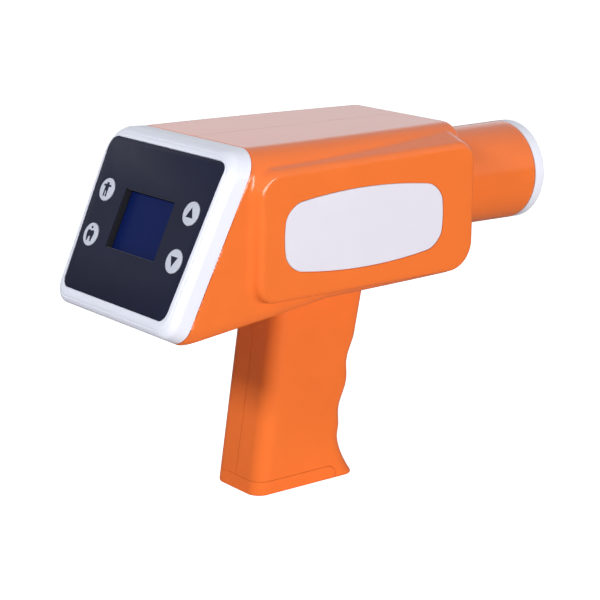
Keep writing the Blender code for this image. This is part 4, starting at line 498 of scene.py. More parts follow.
def outer_finishes():
    """Finishes of the outside, by the record's material slots."""
    return {
        "housing_orange": surface(
            "orange_gloss", (0.89, 0.183, 0.030), 0.15, spread=0.02, grain_strength=0.02, specular=0.40,
        ),
        "trim_white": surface("white_gloss", (0.85, 0.86, 0.95), 0.30, spread=0.01, grain_strength=0.01),
        "plate_white": surface("plate_satin", (0.755, 0.725, 0.80), 0.40, spread=0.015),
        "overlay_dark": surface(
            "overlay_film", (0.013, 0.015, 0.036), 0.38, spread=0.08, grain=2200, specular=0.1,
        ),
        "window_clear": surface(
            "window_sheet", (0.004, 0.012, 0.085), 0.34, spread=0.02, grain_strength=0.01, specular=0.05,
        ),
        "display_blue": surface("display_cell", (0.007, 0.018, 0.10), 0.18, spread=0.05),
        "key_white": surface("key_satin", (0.62, 0.64, 0.74), 0.42, spread=0.02),
        "plastic_black": surface(
            "black_satin", (0.018, 0.018, 0.020), 0.42, spread=0.10, grain_strength=0.15,
        ),
        "screw_steel": surface("zinc_steel", (0.60, 0.60, 0.62), 0.30, metallic=1.0, spread=0.06),
    }


def inner_finishes():
    """Finishes of what lies inside, by the record's material slots."""
    return {
        "board_green": surface("board_resist", (0.02, 0.18, 0.07), 0.45, spread=0.15),
        "head_aluminium": surface("cast_aluminium", (0.75, 0.76, 0.78), 0.38, metallic=1.0, spread=0.05),
        "collimator_lead": surface("dull_lead", (0.30, 0.31, 0.34), 0.55, metallic=0.8, spread=0.15),
        "tube_glass": surface("tube_glass", (0.80, 0.90, 0.90), 0.05, alpha=0.4),
        "tube_copper": surface("turned_copper", (0.80, 0.35, 0.18), 0.30, metallic=1.0, spread=0.08),
        "core_ferrite": surface("ferrite", (0.08, 0.08, 0.09), 0.60, spread=0.15),
        "winding_tape": surface("amber_tape", (0.75, 0.55, 0.10), 0.45, spread=0.10),
        "battery_wrap": surface("shrink_wrap", (0.05, 0.20, 0.55), 0.35, spread=0.08),
        "holder_plastic": surface("insulator", (0.85, 0.84, 0.80), 0.50),
        "lead_red": surface("silicone_red", (0.55, 0.03, 0.03), 0.45),
        "ribbon_grey": surface("ribbon_grey", (0.55, 0.56, 0.58), 0.50),
    }


# Shapes


def finish_mesh(name, shape):
    mesh = bpy.data.meshes.new(name)
    bmesh.ops.recalc_face_normals(shape, faces=shape.faces)
    shape.to_mesh(mesh)
    shape.free()
    return mesh


def add_object(name, mesh):
    made = bpy.data.objects.new(name, mesh)
    bpy.context.scene.collection.objects.link(made)
    return made


def add_shape(name, shape, place=None):
    mesh = finish_mesh(name, shape)
    if place is not None:
        mesh.transform(place)
    return add_object(name, mesh)


def shade(made):
    made.data.shade_smooth()
    made.data.set_sharp_from_angle(angle=SHARP_ANGLE)


def dress(made, finishes, slot, body, *nodes):
    """Shades a piece, gives it its slot's finish, hangs it on the body that it moves with, and hides the
    CAD nodes that it replaces.
    """
    shade(made)
    made.data.materials.clear()
    made.data.materials.append(finishes[slot])
    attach(made, body)
    if nodes:
        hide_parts(*nodes)


def combine(target, steps):
    """Applies boolean steps (operation, cutter) to the target and removes the cutters."""
    for operation, cutter in steps:
        step = target.modifiers.new(cutter.name, "BOOLEAN")
        step.operation = operation
        step.solver = "MANIFOLD"
        step.object = cutter
    bpy.context.view_layer.update()
    evaluated = target.evaluated_get(bpy.context.evaluated_depsgraph_get())
    mesh = bpy.data.meshes.new_from_object(evaluated)
    target.modifiers.clear()
    target.data = mesh
    for _, cutter in steps:
        bpy.data.objects.remove(cutter, do_unlink=True)


def cut(name, shape, place=None):
    """A boolean step that takes a shape away."""
    return ("DIFFERENCE", add_shape(name, shape, place))


def loft(rings, closed=True):
    shape = bmesh.new()
    rows = [[shape.verts.new(point) for point in ring] for ring in rings]
    count = len(rows[0])
    for lower, upper in zip(rows, rows[1:]):
        for index in range(count):
            following = (index + 1) % count
            shape.faces.new((lower[index], lower[following], upper[following], upper[index]))
    if closed:
        shape.faces.new(list(reversed(rows[0])))
        shape.faces.new(rows[-1])
    return shape


def rounded_polygon(corners, radii, steps=CORNER_STEPS):
    """Points round a convex polygon whose corners are arcs of the given radii."""
    points = []
    count = len(corners)
    for index, radius in enumerate(radii):
        corner = Vector(corners[index])
        back = (Vector(corners[index - 1]) - corner).normalized()
        ahead = (Vector(corners[(index + 1) % count]) - corner).normalized()
        half_angle = back.angle(ahead) / 2
        centre = corner + (back + ahead).normalized() * (radius / math.sin(half_angle))
        start = corner + back * (radius / math.tan(half_angle)) - centre
        sweep = math.pi - 2 * half_angle
        turn_sign = 1 if back.cross(ahead) < 0 else -1
        for step in range(steps + 1):
            turned_start = Matrix.Rotation(turn_sign * sweep * step / steps, 2) @ start
            points.append(tuple(centre + turned_start))
    return points


def rectangle(low_a, low_b, high_a, high_b):
    return [(low_a, low_b), (high_a, low_b), (high_a, high_b), (low_a, high_b)]


def box(low, high):
    outline = rectangle(low[0], low[1], high[0], high[1])
    return loft([[(x, y, z) for x, y in outline] for z in (low[2], high[2])])


def prism(outline, place, low, high):
    return loft([[place(a, b, level) for a, b in outline] for level in (low, high)])


def along_x(a, b, level):
    return (level, a, b)


def along_y(a, b, level):
    return (a, level, b)


def along_z(a, b, level):
    return (a, b, level)


def disc_outline(radius, centre=(0, 0), steps=ROUND_STEPS):
    points = []
    for step in range(steps):
        angle = math.tau * step / steps
        points.append((centre[0] + radius * math.cos(angle), centre[1] + radius * math.sin(angle)))
    return points


def turned(profile, steps=ROUND_STEPS, solid=False):
    """Turned about Z from (height, radius) points: a loop clear of the axis, or a solid that meets it."""
    shape = bmesh.new()
    rows = []
    for along, radius in profile:
        if radius == 0:
            rows.append([shape.verts.new((0, 0, along))] * steps)
        else:
            rows.append([shape.verts.new((a, b, along)) for a, b in disc_outline(radius, steps=steps)])
    pairs = list(zip(rows, rows[1:]))
    if not solid:
        pairs.append((rows[-1], rows[0]))
    for lower, upper in pairs:
        for index in range(steps):
            following = (index + 1) % steps
            corners = [lower[index], lower[following], upper[following], upper[index]]
            shape.faces.new(list(dict.fromkeys(corners)))
    return shape


def arc(centre, radius, first, last, steps=CORNER_STEPS):
    """Points of an arc, with its angles in degrees from the first coordinate."""
    points = []
    for step in range(steps + 1):
        angle = math.radians(first + (last - first) * step / steps)
        points.append((centre[0] + radius * math.cos(angle), centre[1] + radius * math.sin(angle)))
    return points


def beam_place():
    """Turns a shape drawn along +Z to lie along the beam."""
    return Matrix.Translation((0, 0, BEAM_Z)) @ Matrix.Rotation(math.radians(90), 4, "Y")


def panel_place():
    across = Vector((0, -1, 0))
    up = Vector((math.sin(PANEL_TILT), 0, math.cos(PANEL_TILT)))
    turn = Matrix((across, up, across.cross(up))).transposed().to_4x4()
    return Matrix.Translation((PANEL_FOOT_X, 0, PANEL_FOOT_Z)) @ turn


# Housing surface, as distances from it: negative inside


def round_edge(first, second, radius):
    """Both must hold: the two faces meet in a rounded outer edge."""
    corner = np.hypot(np.maximum(first + radius, 0), np.maximum(second + radius, 0))
    return np.minimum(np.maximum(first, second), -radius) + corner


def round_corner(first, second, radius):
    """Either may hold: the two forms meet in a rounded inner corner."""
    corner = np.hypot(np.maximum(radius - first, 0), np.maximum(radius - second, 0))
    return np.maximum(np.minimum(first, second), radius) - corner


def floor_ease(distance):
    """How far the floor is drawn in near its rear edge."""
    near = np.clip(1 - distance / FLOOR_EASE_LENGTH, 0, 1)
    return FLOOR_EASE_DEPTH * (1 - np.sqrt(1 - near**2))


def behind_panel(points):
    """How deep the points lie behind the panel's plane."""
    x, _, z = points.T
    return (x - PANEL_FOOT_X) * math.cos(PANEL_TILT) - (z - PANEL_FOOT_Z) * math.sin(PANEL_TILT)


def body_distance(points, open_rear=False):
    x, y, z = points.T
    rear = BEZEL_DEPTH + SEAT_GAP - behind_panel(points)
    floor_z = FLOOR_Z + FLOOR_SLOPE_SHARE * np.minimum(x, FLOOR_LEVEL_X)
    rise = np.clip((z - floor_z) / (ROOF_Z - floor_z), 0, 1)
    taper = np.clip((x - BODY_TAPER_START_X) / (BODY_FRONT_X - BODY_TAPER_START_X), 0, 1)
    width = BODY_REAR_WIDTH - (BODY_REAR_WIDTH - BODY_FRONT_WIDTH) * taper**BODY_TAPER_POWER_SHARE
    side = np.abs(y) - width / 2 + BODY_FLOOR_NARROWING / 2 * (1 - rise)
    section = round_edge(side, z - ROOF_Z, ROOF_EDGE_RADIUS)
    eased_z = floor_z + floor_ease(np.maximum(-rear / math.cos(PANEL_TILT), 0))
    section = np.maximum(section, round_edge(side, eased_z - z, FLOOR_EDGE_RADIUS))
    section = round_edge(section, x - BODY_FRONT_X, FRONT_EDGE_RADIUS)
    return section if open_rear else np.maximum(section, rear)


def pod_distance(points):
    x, y, z = points.T
    depth = POD_FACE_Y - np.abs(y)
    roof_slope = (POD_ROOF_FRONT_Z - POD_ROOF_REAR_Z) / (POD_FRONT_X - POD_REAR_X)
    roof = z - POD_ROOF_REAR_Z - roof_slope * (x - POD_REAR_X) - POD_SHOULDER_SLOPE_SHARE * depth
    roof = roof / math.hypot(1, POD_SHOULDER_SLOPE_SHARE)
    floor = POD_FLOOR_Z - z - POD_UNDERSIDE_SLOPE_SHARE * depth
    sunk = np.minimum(depth, POD_REAR_SLOPE_DEPTH)
    rear = POD_REAR_X - x - POD_REAR_SLOPE_SHARE * sunk
    rear = rear / math.hypot(1, POD_REAR_SLOPE_SHARE)
    front = x - POD_FRONT_X
    outline = round_edge(rear, roof, POD_REAR_RADIUS)
    outline = np.maximum(outline, round_edge(front, roof, POD_FRONT_ROOF_RADIUS))
    outline = np.maximum(outline, round_edge(front, floor, POD_FRONT_FLOOR_RADIUS))
    outline = np.maximum(outline, round_edge(rear, floor, POD_REAR_RADIUS))
    return np.maximum(round_edge(outline, -depth, POD_EDGE_RADIUS), depth - POD_DEPTH)


def grip_rear_x(z):
    return GRIP_REAR_X + GRIP_REAR_SLOPE_SHARE * z


def grip_front_x(z):
    grooves = np.clip((z - FINGER_LOW_Z) / FINGER_PITCH, 0, FINGER_GROOVES)
    front = GRIP_FRONT_X + GRIP_FRONT_SLOPE_SHARE * z - FINGER_DEPTH * np.sin(math.pi * grooves) ** 2
    return front + TOE_LENGTH * np.clip(1 - z / TOE_HEIGHT, 0, 1) ** TOE_POWER_SHARE


def grip_distance(points):
    x, y, z = points.T
    lengthways = np.maximum(grip_rear_x(z) - x, x - grip_front_x(z))
    section = round_edge(lengthways, np.abs(y) - GRIP_WIDTH / 2, GRIP_CORNER_RADIUS)
    return np.maximum(round_edge(section, -z, FOOT_EDGE_RADIUS), z - GRIP_TOP_Z)


def housing_distance(points, open_rear=False):
    near_rear = np.clip((POD_REAR_X + POD_REAR_FILLET_REACH - points[:, 0]) / POD_REAR_FILLET_REACH, 0, 1)
    fillet = POD_FILLET + (POD_REAR_FILLET - POD_FILLET) * near_rear
    upper = round_corner(body_distance(points, open_rear), pod_distance(points), fillet)
    return round_corner(upper, grip_distance(points), GRIP_FILLET)


def right_half_distance(points):
    return np.maximum(housing_distance(points), points[:, 1] - SPLIT_MARGIN)


def right_cavity_distance(points):
    wall = housing_distance(points, open_rear=True) + WALL
    half = np.maximum(wall, points[:, 1] - SPLIT_MARGIN)
    return np.maximum(half, BEZEL_DEPTH - CUT_OVERRUN - behind_panel(points))


def settle(points, distance, rounds):
    """Moves points onto the surface along its slope."""
    for _ in range(rounds):
        slope = np.empty_like(points)
        for axis in range(3):
            offset = np.zeros(3)
            offset[axis] = SLOPE_REACH
            slope[:, axis] = (distance(points + offset) - distance(points - offset)) / (2 * SLOPE_REACH)
        steepness = np.maximum((slope**2).sum(1), LEAST_STEEPNESS)
        points = points - (distance(points) / steepness)[:, None] * slope
    return points


def relax(points, quads, distance):
    """Evens out the spacing of the points and puts them back on the surface."""
    for _ in range(RELAX_ROUNDS):
        total = np.zeros_like(points)
        count = np.zeros(len(points))
        for first, second in ((0, 1), (1, 2), (2, 3), (3, 0)):
            for a, b in ((first, second), (second, first)):
                np.add.at(total, quads[:, a], points[quads[:, b]])
                np.add.at(count, quads[:, a], 1)
        points = settle((points + total / count[:, None]) / 2, distance, RESETTLE_ROUNDS)
    return points


def crossing_quads(inside, number, axis):
    """A quad through the four cells round each grid edge along the axis that crosses the surface."""
    second = (axis + 1) % 3
    third = (axis + 2) % 3
    lower = np.moveaxis(inside, axis, 0)[:-1]
    upper = np.moveaxis(inside, axis, 0)[1:]
    places = np.argwhere(np.moveaxis(lower != upper, 0, axis))
    starts_inside = np.moveaxis(lower, 0, axis)[tuple(places.T)]
    around = []
    for back_second, back_third in ((1, 1), (0, 1), (0, 0), (1, 0)):
        cell = places.copy()
        cell[:, second] -= back_second
        cell[:, third] -= back_third
        around.append(number[tuple(cell.T)])
    quads = np.stack(around, 1)
    quads[~starts_inside] = quads[~starts_inside][:, ::-1]
    return quads


def surface_net(name, distance, low, high, spacing):
    """A closed mesh on the zero level of a distance, with a point in each cell that it crosses."""
    axes = [np.arange(low[axis], high[axis] + spacing, spacing) for axis in range(3)]
    grid = np.stack(np.meshgrid(*axes, indexing="ij"), -1)
    inside = distance(grid.reshape(-1, 3)).reshape(grid.shape[:3]) < 0
    cells = [size - 1 for size in inside.shape]
    corners = np.zeros(cells, int)
    for a, b, c in itertools.product((0, 1), repeat=3):
        corners += inside[a:a + cells[0], b:b + cells[1], c:c + cells[2]]
    crossed = (corners > 0) & (corners < 8)
    number = np.full(cells, -1)
    number[crossed] = np.arange(crossed.sum())
    points = grid[:-1, :-1, :-1][crossed] + spacing / 2
    quads = np.concatenate([crossing_quads(inside, number, axis) for axis in range(3)])
    points = relax(settle(points, distance, SETTLE_ROUNDS), quads, distance)
    mesh = bpy.data.meshes.new(name)
    mesh.from_pydata(points.tolist(), [], quads.tolist())
    mesh.validate()
    return mesh


def mirrored(mesh, name):
    copy = mesh.copy()
    copy.name = name
    copy.transform(Matrix.Scale(-1, 4, (0, 1, 0)))
    copy.flip_normals()
    return copy


def label_outline(gap):
    """A rounded rectangle whose sides bulge out."""
    low = (LABEL_REAR_X - gap, LABEL_FLOOR_Z - gap)
    high = (LABEL_FRONT_X + gap, LABEL_ROOF_Z + gap)
    radius = LABEL_CORNER_RADIUS + gap
    plain = rounded_polygon(rectangle(*low, *high), [radius] * 4)
    points = []
    for index, (x, z) in enumerate(plain):
        next_x, next_z = plain[(index + 1) % len(plain)]
        parts = BULGE_STEPS if abs(next_x - x) + abs(next_z - z) > radius else 1
        for step in range(parts):
            here_x = x + (next_x - x) * step / parts
            here_z = z + (next_z - z) * step / parts
            across = 2 * (here_x - low[0]) / (high[0] - low[0]) - 1
            up = 2 * (here_z - low[1]) / (high[1] - low[1]) - 1
            here_x += LABEL_END_BULGE * across * (1 - up * up)
            here_z += LABEL_BULGE * up * (1 - across * across)
            points.append((here_x, here_z))
    return points


def hinge_arc(radius, first_degrees):
    return arc((CAP_HINGE_X, CAP_HINGE_Z), radius, first_degrees, 90)


def cap_outline():
    rear_x = GRIP_REAR_X - CUT_OVERRUN
    points = hinge_arc(CAP_HEIGHT - CAP_HINGE_Z, -90)
    front_x, foot_z = points[0]
    foot = [(rear_x, foot_z - CUT_OVERRUN), (front_x, foot_z - CUT_OVERRUN)]
    return foot + points + [(rear_x, CAP_HEIGHT)]


def cap_space_outline():
    rear_x = GRIP_REAR_X - CUT_OVERRUN
    radius = CAP_HEIGHT - CAP_HINGE_Z + CAP_SEAM
    foot = [(rear_x, -CUT_OVERRUN), (CAP_HINGE_X + radius, -CUT_OVERRUN)]
    return foot + hinge_arc(radius, 0) + [(rear_x, CAP_HEIGHT + CAP_SEAM)]


def beyond_split(side):
    """All that lies past the split, on the other half's side."""
    far = BODY_FRONT_X + CUT_OVERRUN
    low_y, high_y = sorted((side * SPLIT_HALF_GAP, -side * 2 * POD_FACE_Y))
    return box((-2 * far, low_y, -WALL), (2 * far, high_y, 2 * ROOF_Z))


def cone_hole():
    outline = disc_outline(CONE_ROOT_RADIUS + RUNNING_GAP, (0, BEAM_Z))
    return prism(outline, along_x, BODY_FRONT_X - 2 * WALL, BODY_FRONT_X + CUT_OVERRUN)


def label_recess(side):
    floor_y = POD_FACE_Y + LABEL_PROUD - LABEL_THICKNESS - SEAT_GAP
    ends = sorted((side * floor_y, side * (POD_FACE_Y + CUT_OVERRUN)))
    return prism(label_outline(SEAT_GAP), along_y, *ends)


def trigger_window():
    low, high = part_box("exposure_trigger")
    middle = (low.z + high.z) / 2
    half_width = TRIGGER_WIDTH / 2 + RUNNING_GAP
    half_height = TRIGGER_HEIGHT / 2 + RUNNING_GAP
    corners = rectangle(-half_width, middle - half_height, half_width, middle + half_height)
    outline = rounded_polygon(corners, [TRIGGER_EDGE + RUNNING_GAP] * 4)
    return prism(outline, along_x, TRIGGER_FLANGE_X, TRIGGER_TIP_X + CUT_OVERRUN)


def left_side_cuts(reach):
    """The holes for the inlet and the screws, which only the left half has."""
    outline = disc_outline(SOCKET_RADIUS + SEAT_GAP, (SOCKET_X, SOCKET_Z), SMALL_HOLE_STEPS)
    steps = [cut("socket_hole", prism(outline, along_y, 0, reach))]
    for index in range(HOUSING_SCREWS):
        low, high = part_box("housing_screw_%d" % (index + 1))
        centre = ((low.x + high.x) / 2, (low.z + high.z) / 2)
        outline = disc_outline(HOUSING_SCREW_HEAD_RADIUS + SEAT_GAP, centre, SMALL_HOLE_STEPS)
        steps.append(cut("screw_hole", prism(outline, along_y, high.y - WALL, reach)))
    return steps


def housing_cuts(side, cavity):
    """The spaces cut from one half of the housing, as boolean steps."""
    reach = 2 * POD_FACE_Y
    steps = [
        ("DIFFERENCE", add_object("cavity", cavity)),
        cut("split", beyond_split(side)),
        cut("cone_hole", cone_hole()),
        cut("label_recess", label_recess(side)),
        cut("cap_space", prism(cap_space_outline(), along_y, -reach, reach)),
        cut("trigger_window", trigger_window()),
    ]
    if side > 0:
        steps += left_side_cuts(reach)
    return steps


def ear_shape(side):
    ends = sorted((side * EAR_INNER_Y, side * (EAR_INNER_Y + EAR_THICKNESS)))
    low = (CAP_HINGE_X - EAR_REAR_REACH, ends[0], EAR_FLOOR_Z)
    return box(low, (CAP_HINGE_X + CAP_HEIGHT, ends[1], EAR_ROOF_Z))


def build_housing(finishes):
    low = (GRID_REAR_X, -POD_FACE_Y - CUT_OVERRUN, -CUT_OVERRUN)
    high = (BODY_FRONT_X + CUT_OVERRUN, SPLIT_MARGIN + CUT_OVERRUN, ROOF_Z + CUT_OVERRUN)
    right = surface_net("right_housing", right_half_distance, low, high, HOUSING_GRID)
    cavity = surface_net("right_cavity", right_cavity_distance, low, high, CAVITY_GRID)
    left = mirrored(right, "left_housing")
    left_cavity = mirrored(cavity, "left_cavity")
    halves = ((-1, right, cavity, "right_shell"), (1, left, left_cavity, "left_shell"))
    for side, mesh, space, node in halves:
        half = add_object(mesh.name, mesh)
        steps = housing_cuts(side, space)
        steps.append(("UNION", add_shape("ear", ear_shape(side))))
        combine(half, steps)
        dress(half, finishes, "housing_orange", "housing", node)


def foot_distance(points):
    """The lowest stretch of the grip, from which the cap is cut."""
    return np.maximum(grip_distance(points), points[:, 2] - CAP_HEIGHT - CUT_OVERRUN)


def ear_slot(side):
    inner = EAR_INNER_Y - RUNNING_GAP
    outer = EAR_INNER_Y + EAR_THICKNESS + RUNNING_GAP
    low_y, high_y = sorted((side * inner, side * outer))
    low = (CAP_HINGE_X - EAR_SLOT_REACH, low_y, -CUT_OVERRUN)
    return box(low, (CAP_HINGE_X + CAP_HEIGHT, high_y, CAP_HEIGHT + CUT_OVERRUN))


def build_cap(finishes):
    reach = GRIP_WIDTH / 2 + CUT_OVERRUN
    low = (GRIP_REAR_X - CUT_OVERRUN, -reach, -CUT_OVERRUN)
    high = (GRIP_FRONT_X + TOE_LENGTH + CUT_OVERRUN, reach, 2 * CAP_HEIGHT)
    cap = add_object("grip_cap", surface_net("grip_cap", foot_distance, low, high, CAP_GRID))
    half = GRIP_WIDTH / 2 - WALL
    hollow_low = (GRIP_REAR_X + 2 * WALL, -half, CAP_FLOOR)
    hollow_high = (CAP_HOLLOW_FRONT_X, half, CAP_HEIGHT + CUT_OVERRUN)
    pin_half = CAP_PIN_LENGTH / 2 + SEAT_GAP
    pin_outline = disc_outline(CAP_PIN_RADIUS + SEAT_GAP, (CAP_HINGE_X, CAP_HINGE_Z), CAP_PIN_STEPS)
    combine(cap, [
        ("INTERSECT", add_shape("slab", prism(cap_outline(), along_y, -reach, reach))),
        cut("hollow", box(hollow_low, hollow_high)),
        cut("slot", ear_slot(-1)),
        cut("slot", ear_slot(1)),
        cut("pin_hole", prism(pin_outline, along_y, -pin_half, pin_half)),
    ])
    dress(cap, finishes, "housing_orange", "cap", "battery_cap")


# Panel pieces


def plate_front_depth():
    return OVERLAY_THICKNESS + SEAT_GAP


def plate_back_depth():
    return plate_front_depth() + BEZEL_PLATE_THICKNESS


def overlay_half_width():
    return (OVERLAY_TOP_WIDTH + OVERLAY_BOTTOM_WIDTH) / 4


def overlay_outline(gap=0.0):
    half_low = OVERLAY_BOTTOM_WIDTH / 2 + gap
    half_high = OVERLAY_TOP_WIDTH / 2 + gap
    high_v = OVERLAY_HEIGHT + gap
    corners = [(-half_low, -gap), (half_low, -gap), (half_high, high_v), (-half_high, high_v)]
    return rounded_polygon(corners, [OVERLAY_CORNER_RADIUS + gap] * 4)


def bezel_top_v(depth):
    """The bezel's upper face rises rearwards until it is level with the roof."""
    front_v = OVERLAY_HEIGHT + BEZEL_TOP_MARGIN
    back_v = (ROOF_Z - PANEL_FOOT_Z + BEZEL_DEPTH * math.sin(PANEL_TILT)) / math.cos(PANEL_TILT)
    return front_v + (back_v - front_v) * depth / BEZEL_DEPTH


def bezel_ring(depth, inset):
    half_low = OVERLAY_BOTTOM_WIDTH / 2 + BEZEL_BOTTOM_SIDE_MARGIN - inset
    half_high = OVERLAY_TOP_WIDTH / 2 + BEZEL_TOP_SIDE_MARGIN - inset
    low_v = -BEZEL_BOTTOM_MARGIN + inset
    high_v = bezel_top_v(depth) - inset
    corners = [(-half_low, low_v), (half_low, low_v), (half_high, high_v), (-half_high, high_v)]
    softening = BEZEL_CORNER_SOFTENING * min(inset / BEZEL_EDGE_RADIUS, 1)
    radii = [BEZEL_BOTTOM_CORNER_RADIUS] * 2 + [BEZEL_TOP_CORNER_RADIUS] * 2
    outline = rounded_polygon(corners, [max(radius - inset + softening, WALL) for radius in radii])
    return [(u, v, -depth) for u, v in outline]


def key_places():
    """Name of each key, with its place on the panel."""
    left_u = KEY_LEFT_MARGIN - overlay_half_width()
    right_u = overlay_half_width() - KEY_RIGHT_MARGIN
    return [
        ("patient", left_u, KEY_UPPER_V),
        ("tooth", left_u, KEY_LOWER_V),
        ("up", right_u, KEY_UPPER_V),
        ("down", right_u, KEY_LOWER_V),
    ]


def display_outline(grow, radius):
    half_width = DISPLAY_WIDTH / 2 + grow
    half_height = DISPLAY_HEIGHT / 2 + grow
    low = (DISPLAY_CENTRE_U - half_width, DISPLAY_CENTRE_V - half_height)
    high = (DISPLAY_CENTRE_U + half_width, DISPLAY_CENTRE_V + half_height)
    return rounded_polygon(rectangle(*low, *high), [radius] * 4)


def panel_openings(place, low, high):
    """Cuts for the key holes and the display, between two depths."""
    steps = []
    for name, u, v in key_places():
        outline = disc_outline(KEY_RADIUS + SEAT_GAP, (u, v), KEY_HOLE_STEPS)
        steps.append(cut("hole_" + name, prism(outline, along_z, low, high), place))
    opening = prism(display_outline(0, DISPLAY_CORNER_RADIUS), along_z, low, high)
    steps.append(cut("display_hole", opening, place))
    return steps


def bezel_edge_rings():
    """The rounded front edge, with a fine crease round the frame."""
    rings = []
    steps = 2 * CORNER_STEPS
    for step in range(steps + 1):
        angle = math.pi / 2 * step / steps
        inset = BEZEL_EDGE_RADIUS * (1 - math.sin(angle))
        off_crease = abs(inset - BEZEL_CREASE_INSET) / BEZEL_CREASE_HALF_WIDTH
        crease = BEZEL_CREASE_DEPTH * max(1 - off_crease, 0)
        rings.append(bezel_ring(BEZEL_EDGE_RADIUS * (1 - math.cos(angle)) + crease, inset))
    return rings


def build_bezel(finishes):
    place = panel_place()
    back = plate_back_depth()
    bezel = add_shape("panel_bezel", loft(bezel_edge_rings() + [bezel_ring(BEZEL_DEPTH, 0)]), place)
    lip_end = BEZEL_DEPTH + BEZEL_LIP_LENGTH
    lip = loft([bezel_ring(back, BEZEL_LIP_INSET), bezel_ring(lip_end, BEZEL_LIP_INSET)])
    inner = BEZEL_LIP_INSET + BEZEL_LIP_THICKNESS
    hollow = loft([bezel_ring(back, inner), bezel_ring(lip_end + CUT_OVERRUN, inner)])
    pocket = prism(overlay_outline(SEAT_GAP), along_z, -plate_front_depth(), CUT_OVERRUN)
    steps = [
        ("UNION", add_shape("lip", lip, place)),
        cut("hollow", hollow, place),
        cut("pocket", pocket, place),
    ]
    combine(bezel, steps + panel_openings(place, -back - CUT_OVERRUN, CUT_OVERRUN))
    dress(bezel, finishes, "trim_white", "housing", "control_bezel")


def build_overlay(finishes):
    place = panel_place()
    edge = OVERLAY_THICKNESS / 4
    rings = []
    for level, gap in ((-OVERLAY_THICKNESS, 0), (-edge, 0), (-edge / 3, -edge / 3), (0, -edge)):
        rings.append([(u, v, level) for u, v in overlay_outline(gap)])
    overlay = add_shape("panel_sheet", loft(rings), place)
    combine(overlay, panel_openings(place, -CUT_OVERRUN, CUT_OVERRUN))
    dress(overlay, finishes, "overlay_dark", "housing", "panel_overlay")


def build_display(finishes):
    """A dark liner round the display's opening, down to its window."""
    outer = display_outline(-SEAT_GAP / 3, DISPLAY_CORNER_RADIUS)
    inner = display_outline(-LINER_THICKNESS, DISPLAY_CORNER_RADIUS / 2)
    front = -OVERLAY_THICKNESS / 2
    back = -plate_back_depth()
    levels = ((outer, front), (outer, back), (inner, back), (inner, front))
    shape = loft([[(u, v, level) for u, v in outline] for outline, level in levels], closed=False)
    shape.verts.ensure_lookup_table()
    count = len(outer)
    first = shape.verts[:count]
    last = shape.verts[-count:]
    for index in range(count):
        following = (index + 1) % count
        shape.faces.new((last[index], last[following], first[following], first[index]))
    liner = add_shape("display_liner", shape, panel_place())
    dress(liner, finishes, "plastic_black", "housing")


def key_profile():
    dome = KEY_PROUD * KEY_DOME_SHARE
    edge = KEY_PROUD / 2
    flange_top = -plate_back_depth() - SEAT_GAP
    flange_bottom = flange_top - KEY_FLANGE_THICKNESS
    stem_tip = flange_bottom - KEY_STEM_RADIUS
    points = [
        (stem_tip, 0),
        (stem_tip, KEY_STEM_RADIUS),
        (flange_bottom, KEY_STEM_RADIUS),
        (flange_bottom, KEY_FLANGE_RADIUS),
        (flange_top, KEY_FLANGE_RADIUS),
        (flange_top, KEY_RADIUS),
    ]
    shoulder = KEY_PROUD - dome - edge
    rounding = arc((KEY_RADIUS - edge, shoulder), edge, 0, 90, EDGE_STEPS)
    points += [(level, radius) for radius, level in rounding]
    for step in range(1, KEY_FACE_STEPS + 1):
        share = 1 - step / KEY_FACE_STEPS
        points.append((KEY_PROUD - dome * share**2, (KEY_RADIUS - edge) * share))
    return points


def key_face_level(radius_share):
    return KEY_PROUD * (1 - KEY_DOME_SHARE * radius_share**2)


def icon_outlines():
    """Generic pictograms, as closed outlines in shares of the key's radius."""
    patient_shares = [
        (-0.52, 0.42), (-0.16, 0.42), (-0.16, 0.60), (0.16, 0.60), (0.16, 0.42), (0.52, 0.42),
        (0.52, 0.24), (0.26, 0.24), (0.26, -0.62), (0.08, -0.62), (0.08, -0.14), (-0.08, -0.14),
        (-0.08, -0.62), (-0.26, -0.62), (-0.26, 0.24), (-0.52, 0.24),
    ]
    tooth_shares = [
        (-0.50, 0.10), (-0.44, 0.30), (-0.28, 0.38), (-0.12, 0.34), (0.0, 0.28), (0.12, 0.34),
        (0.28, 0.38), (0.44, 0.30), (0.50, 0.10), (0.46, -0.16), (0.34, -0.60), (0.20, -0.60),
        (0.12, -0.20), (-0.12, -0.20), (-0.20, -0.60), (-0.34, -0.60), (-0.46, -0.16),
    ]
    dot_shares = disc_outline(ICON_DOT_SHARE, (0, ICON_DOT_HEIGHT_SHARE), ICON_DOT_STEPS)
    up_shares = [(-0.46, -0.36), (0.46, -0.36), (0.0, 0.50)]
    down_shares = [(-0.46, 0.36), (0.0, -0.50), (0.46, 0.36)]
    return {
        "patient": [patient_shares],
        "tooth": [tooth_shares, dot_shares],
        "up": [up_shares],
        "down": [down_shares],
    }


def icon_shape(outlines):
    """Thin plates with these outlines, bent to the key's face."""
    shape = bmesh.new()
    for outline in outlines:
        lower = []
        upper = []
        for a, b in outline:
            level = key_face_level(math.hypot(a, b))
            lower.append(shape.verts.new((a * KEY_RADIUS, b * KEY_RADIUS, level - ICON_THICKNESS / 2)))
            upper.append(shape.verts.new((a * KEY_RADIUS, b * KEY_RADIUS, level + ICON_THICKNESS / 2)))
        for index in range(len(outline)):
            following = (index + 1) % len(outline)
            shape.faces.new((lower[index], lower[following], upper[following], upper[index]))
        shape.faces.new(upper)
        shape.faces.new(list(reversed(lower)))
    return shape


